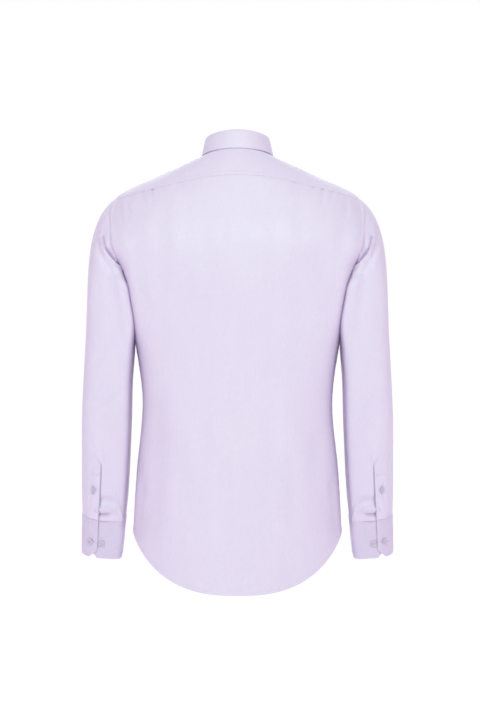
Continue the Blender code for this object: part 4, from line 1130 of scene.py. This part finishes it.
def button_mesh(radius, thick):
    """A turned button with a rounded rim, a dished middle and four holes."""
    mesh = bpy.data.meshes.new("button")
    mesh.from_pydata([(r * radius * MM, 0, z * thick * MM) for r, z in BUTTON_OUTLINE],
                     [(k, k + 1) for k in range(len(BUTTON_OUTLINE) - 1)], [])
    body = add_object("button_form", mesh)
    turn = body.modifiers.new("turn", "SCREW")
    turn.steps = turn.render_steps = 48
    turn.use_merge_vertices = True
    turn.merge_threshold = 0.00001
    drills = []
    for x, y in ((-1, -1), (-1, 1), (1, -1), (1, 1)):
        place = (x * HOLE_AT * radius * MM, y * HOLE_AT * radius * MM, 0)
        bpy.ops.mesh.primitive_cylinder_add(vertices=16, radius=HOLE_RADIUS * radius * MM,
                                            depth=6 * thick * MM, location=place)
        drills.append(bpy.context.object)
        cutter = body.modifiers.new("hole", "BOOLEAN")
        cutter.operation, cutter.object, cutter.solver = "DIFFERENCE", drills[-1], "EXACT"
    bpy.context.view_layer.update()
    made = bpy.data.meshes.new_from_object(body.evaluated_get(bpy.context.evaluated_depsgraph_get()))
    for used in drills + [body]:
        bpy.data.objects.remove(used, do_unlink=True)
    made.polygons.foreach_set("use_smooth", np.ones(len(made.polygons), dtype=bool))
    made.set_sharp_from_angle(angle=np.radians(35))
    made.materials.clear()
    made.materials.append(BUTTON_MATERIAL)
    return made


def make_buttons():
    """Each button where its solid is, turned as the cloth under it, with two bars of thread."""
    forms = {}
    for name, node in sorted(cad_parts.items()):
        if not name.startswith("button_"):
            continue
        points = np.array([v.co[:] for v in node.data.vertices]) / MM
        middle = points.mean(axis=0)
        facing = np.linalg.svd(points - middle)[2][2]
        on_arm = "cuff" in name or "gauntlet" in name
        core = (np.sign(middle[0]) * ARM_X, ARM_Y) if on_arm else (0, 0)
        if facing[:2] @ (middle[:2] - core) < 0:
            facing = -facing
        depth = (points - middle) @ facing
        radius = np.linalg.norm(points - middle - depth[:, None] * facing, axis=1).max()
        thick = depth.max() - depth.min()
        key = (round(float(radius), 1), round(float(thick), 1))
        if key not in forms:
            forms[key] = button_mesh(*key)
        piece = add_object(f"pearl_{name}", forms[key])
        centre = middle + depth.min() * facing
        upright = unit(np.array([0, 0, 1]) - facing[2] * facing)
        across = np.cross(upright, facing)
        turn = np.eye(4)
        turn[:3, :3] = np.stack([across, upright, facing], axis=1)
        turn[:3, 3] = centre * MM
        piece.matrix_world = Matrix(turn.tolist())
        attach(piece, "root")
        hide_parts(name)
        hole = HOLE_AT * radius
        for x in (-1, 1):
            for nudge in (-0.16, 0.16):
                base = centre + (x * hole + nudge) * across + 0.5 * thick * facing
                THREADS.append((base - hole * upright, base + hole * upright, facing, across))
        yield name, centre, facing, across, upright


def make_threads():
    """Bars of thread over the buttons' holes, each an arched tube of five rings."""
    points, faces = [], []
    for a, b, facing, across in THREADS:
        first = len(points)
        for share, lift in ((0, -0.5), (0.12, 0.16), (0.5, 0.3), (0.88, 0.16), (1, -0.5)):
            middle = a + (b - a) * share + lift * facing
            rise = facing if 0 < share < 1 else unit(b - a)
            points += [middle + 0.15 * (x * across + y * rise) for x, y in HEXAGON]
        for ring in range(4):
            low, high = first + ring * 6, first + ring * 6 + 6
            for k in range(6):
                n = (k + 1) % 6
                faces.append((low + k, low + n, high + n, high + k))
    piece = build_object("button_thread", np.array(points), np.array(faces), THREAD_MATERIAL)


def make_buttonholes(seats):
    """A corded slot round each closed button: two dense rows of thread and their end bars."""
    for name, centre, facing, across, upright in seats:
        if name.endswith("_b"):
            continue
        upright_hole = "front" in name or "gauntlet" in name
        long_way, wide_way = (upright, across) if upright_hole else (across, upright)
        seat = centre - 0.35 * facing
        half = 7.6 if "gauntlet" not in name else 6.6
        places = np.arange(-half, half + 0.01, 0.62)
        for side in (-1, 1):
            a = seat + places[:, None] * long_way + side * 0.25 * wide_way
            STITCHES.append((a, a + side * 1.15 * wide_way, np.broadcast_to(facing, a.shape)))
        for end in (-1, 1):
            steps = np.arange(-1.1, 1.2, 0.55)
            a = seat + end * half * long_way + steps[:, None] * wide_way
            STITCHES.append((a, a + end * 1.2 * long_way, np.broadcast_to(facing, a.shape)))


# ---------------------------------------------------------------- the shirt

make_stand()
make_leaf()
make_yoke()
make_back()
make_front("left", 0)
make_front("right", 1)
make_sleeves()
make_gauntlets()
make_cuffs()
make_buttonholes(list(make_buttons()))
make_threads()
make_stitches()

# ---------------------------------------------------------------- floor, light and camera

FLOOR_Z, FLOOR_HALF = -1.15, 4
SIDE_WORLD, TOP_SHARE = 0.72, 0.3
GREENISH = (0.62, 1, 0.64)
AIM_Z = -0.35
CAMERA_BACK, CAMERA_X, CAMERA_Z = 3.6, -0.004375, -0.352
FRAME_PIXELS, PIXEL_SIZE = 719, 0.00175  # how high the frame is, and how much one pixel shows
SENSOR = 36


def paper_look(nodes):
    grain = nodes.noise(nodes.put("TexCoord").outputs["Object"], 40, 3)
    return {
        "Base Color": nodes.ramp(grain, (0.93, 0.93, 0.93), (0.96, 0.96, 0.96)),
        "Roughness": 0.9,
        "Specular IOR Level": 0.1,
        "Emission Color": (1, 1, 1, 1),
        "Emission Strength": 0.2,
    }


def make_floor():
    mesh = bpy.data.meshes.new("floor")
    corners = ((-1, -1), (1, -1), (1, 1), (-1, 1))
    mesh.from_pydata([(x * FLOOR_HALF, y * FLOOR_HALF, FLOOR_Z) for x, y in corners], [], [(0, 1, 2, 3)])
    mesh.materials.append(make_material("floor_paper", paper_look))
    add_object("floor", mesh)


def area_light(name, place, size, power):
    light = bpy.data.lights.new(name, "AREA")
    light.shape = "DISK"
    light.size = size
    light.energy = power
    light.color = GREENISH
    lamp = add_object(name, light)
    lamp.location = place
    lamp.rotation_mode = "QUATERNION"
    lamp.rotation_quaternion = (Vector((0, 0, AIM_Z)) - Vector(place)).to_track_quat("-Z", "Y")


def make_world():
    """White towards -Y, greyer at the sides and towards +Y, and a touch greyer above, so that
    round forms darken at their edges."""
    world = bpy.data.worlds.new("studio")
    nodes = Nodes(world)
    x, y, z = nodes.put("SeparateXYZ", {0: nodes.put("TexCoord").outputs["Generated"]}).outputs
    sides = nodes.calc("MAXIMUM", nodes.calc("ABSOLUTE", x), nodes.calc("MULTIPLY", z, TOP_SHARE))
    limits = {"From Min": 0.22, "From Max": 0.8, "To Min": 1, "To Max": SIDE_WORLD}
    away = {"Value": nodes.calc("MAXIMUM", sides, y), **limits}
    fade = nodes.put("MapRange", away, interpolation_type="SMOOTHSTEP")
    background = {"Strength": fade.outputs[0], "Color": (1.03, 1, 1.04, 1)}
    nodes.feed(nodes.tree.nodes["Background"], background)
    bpy.context.scene.world = world


def make_camera():
    data = bpy.data.cameras.new("camera")
    data.sensor_fit = "AUTO"
    data.sensor_width = SENSOR
    data.lens = SENSOR * CAMERA_BACK / (PIXEL_SIZE * FRAME_PIXELS)
    data.clip_start, data.clip_end = 0.1, 50
    camera = add_object("camera", data)
    camera.location = (CAMERA_X, CAMERA_BACK, CAMERA_Z)
    camera.rotation_euler = (np.pi / 2, 0, np.pi)
    bpy.context.scene.camera = camera


make_floor()
make_world()
for side, facing in ((-1, 1), (1, 1), (-1, -1), (1, -1)):
    area_light("softbox", (0.8 * side, 2.1 * facing, 1.1), 0.9, 3)
for facing, power in ((-1, 12), (1, 24)):
    area_light("key", (0, 2.6 * facing, 1.1), 1, power)
make_camera()
bpy.context.scene.view_settings.view_transform = "Standard"
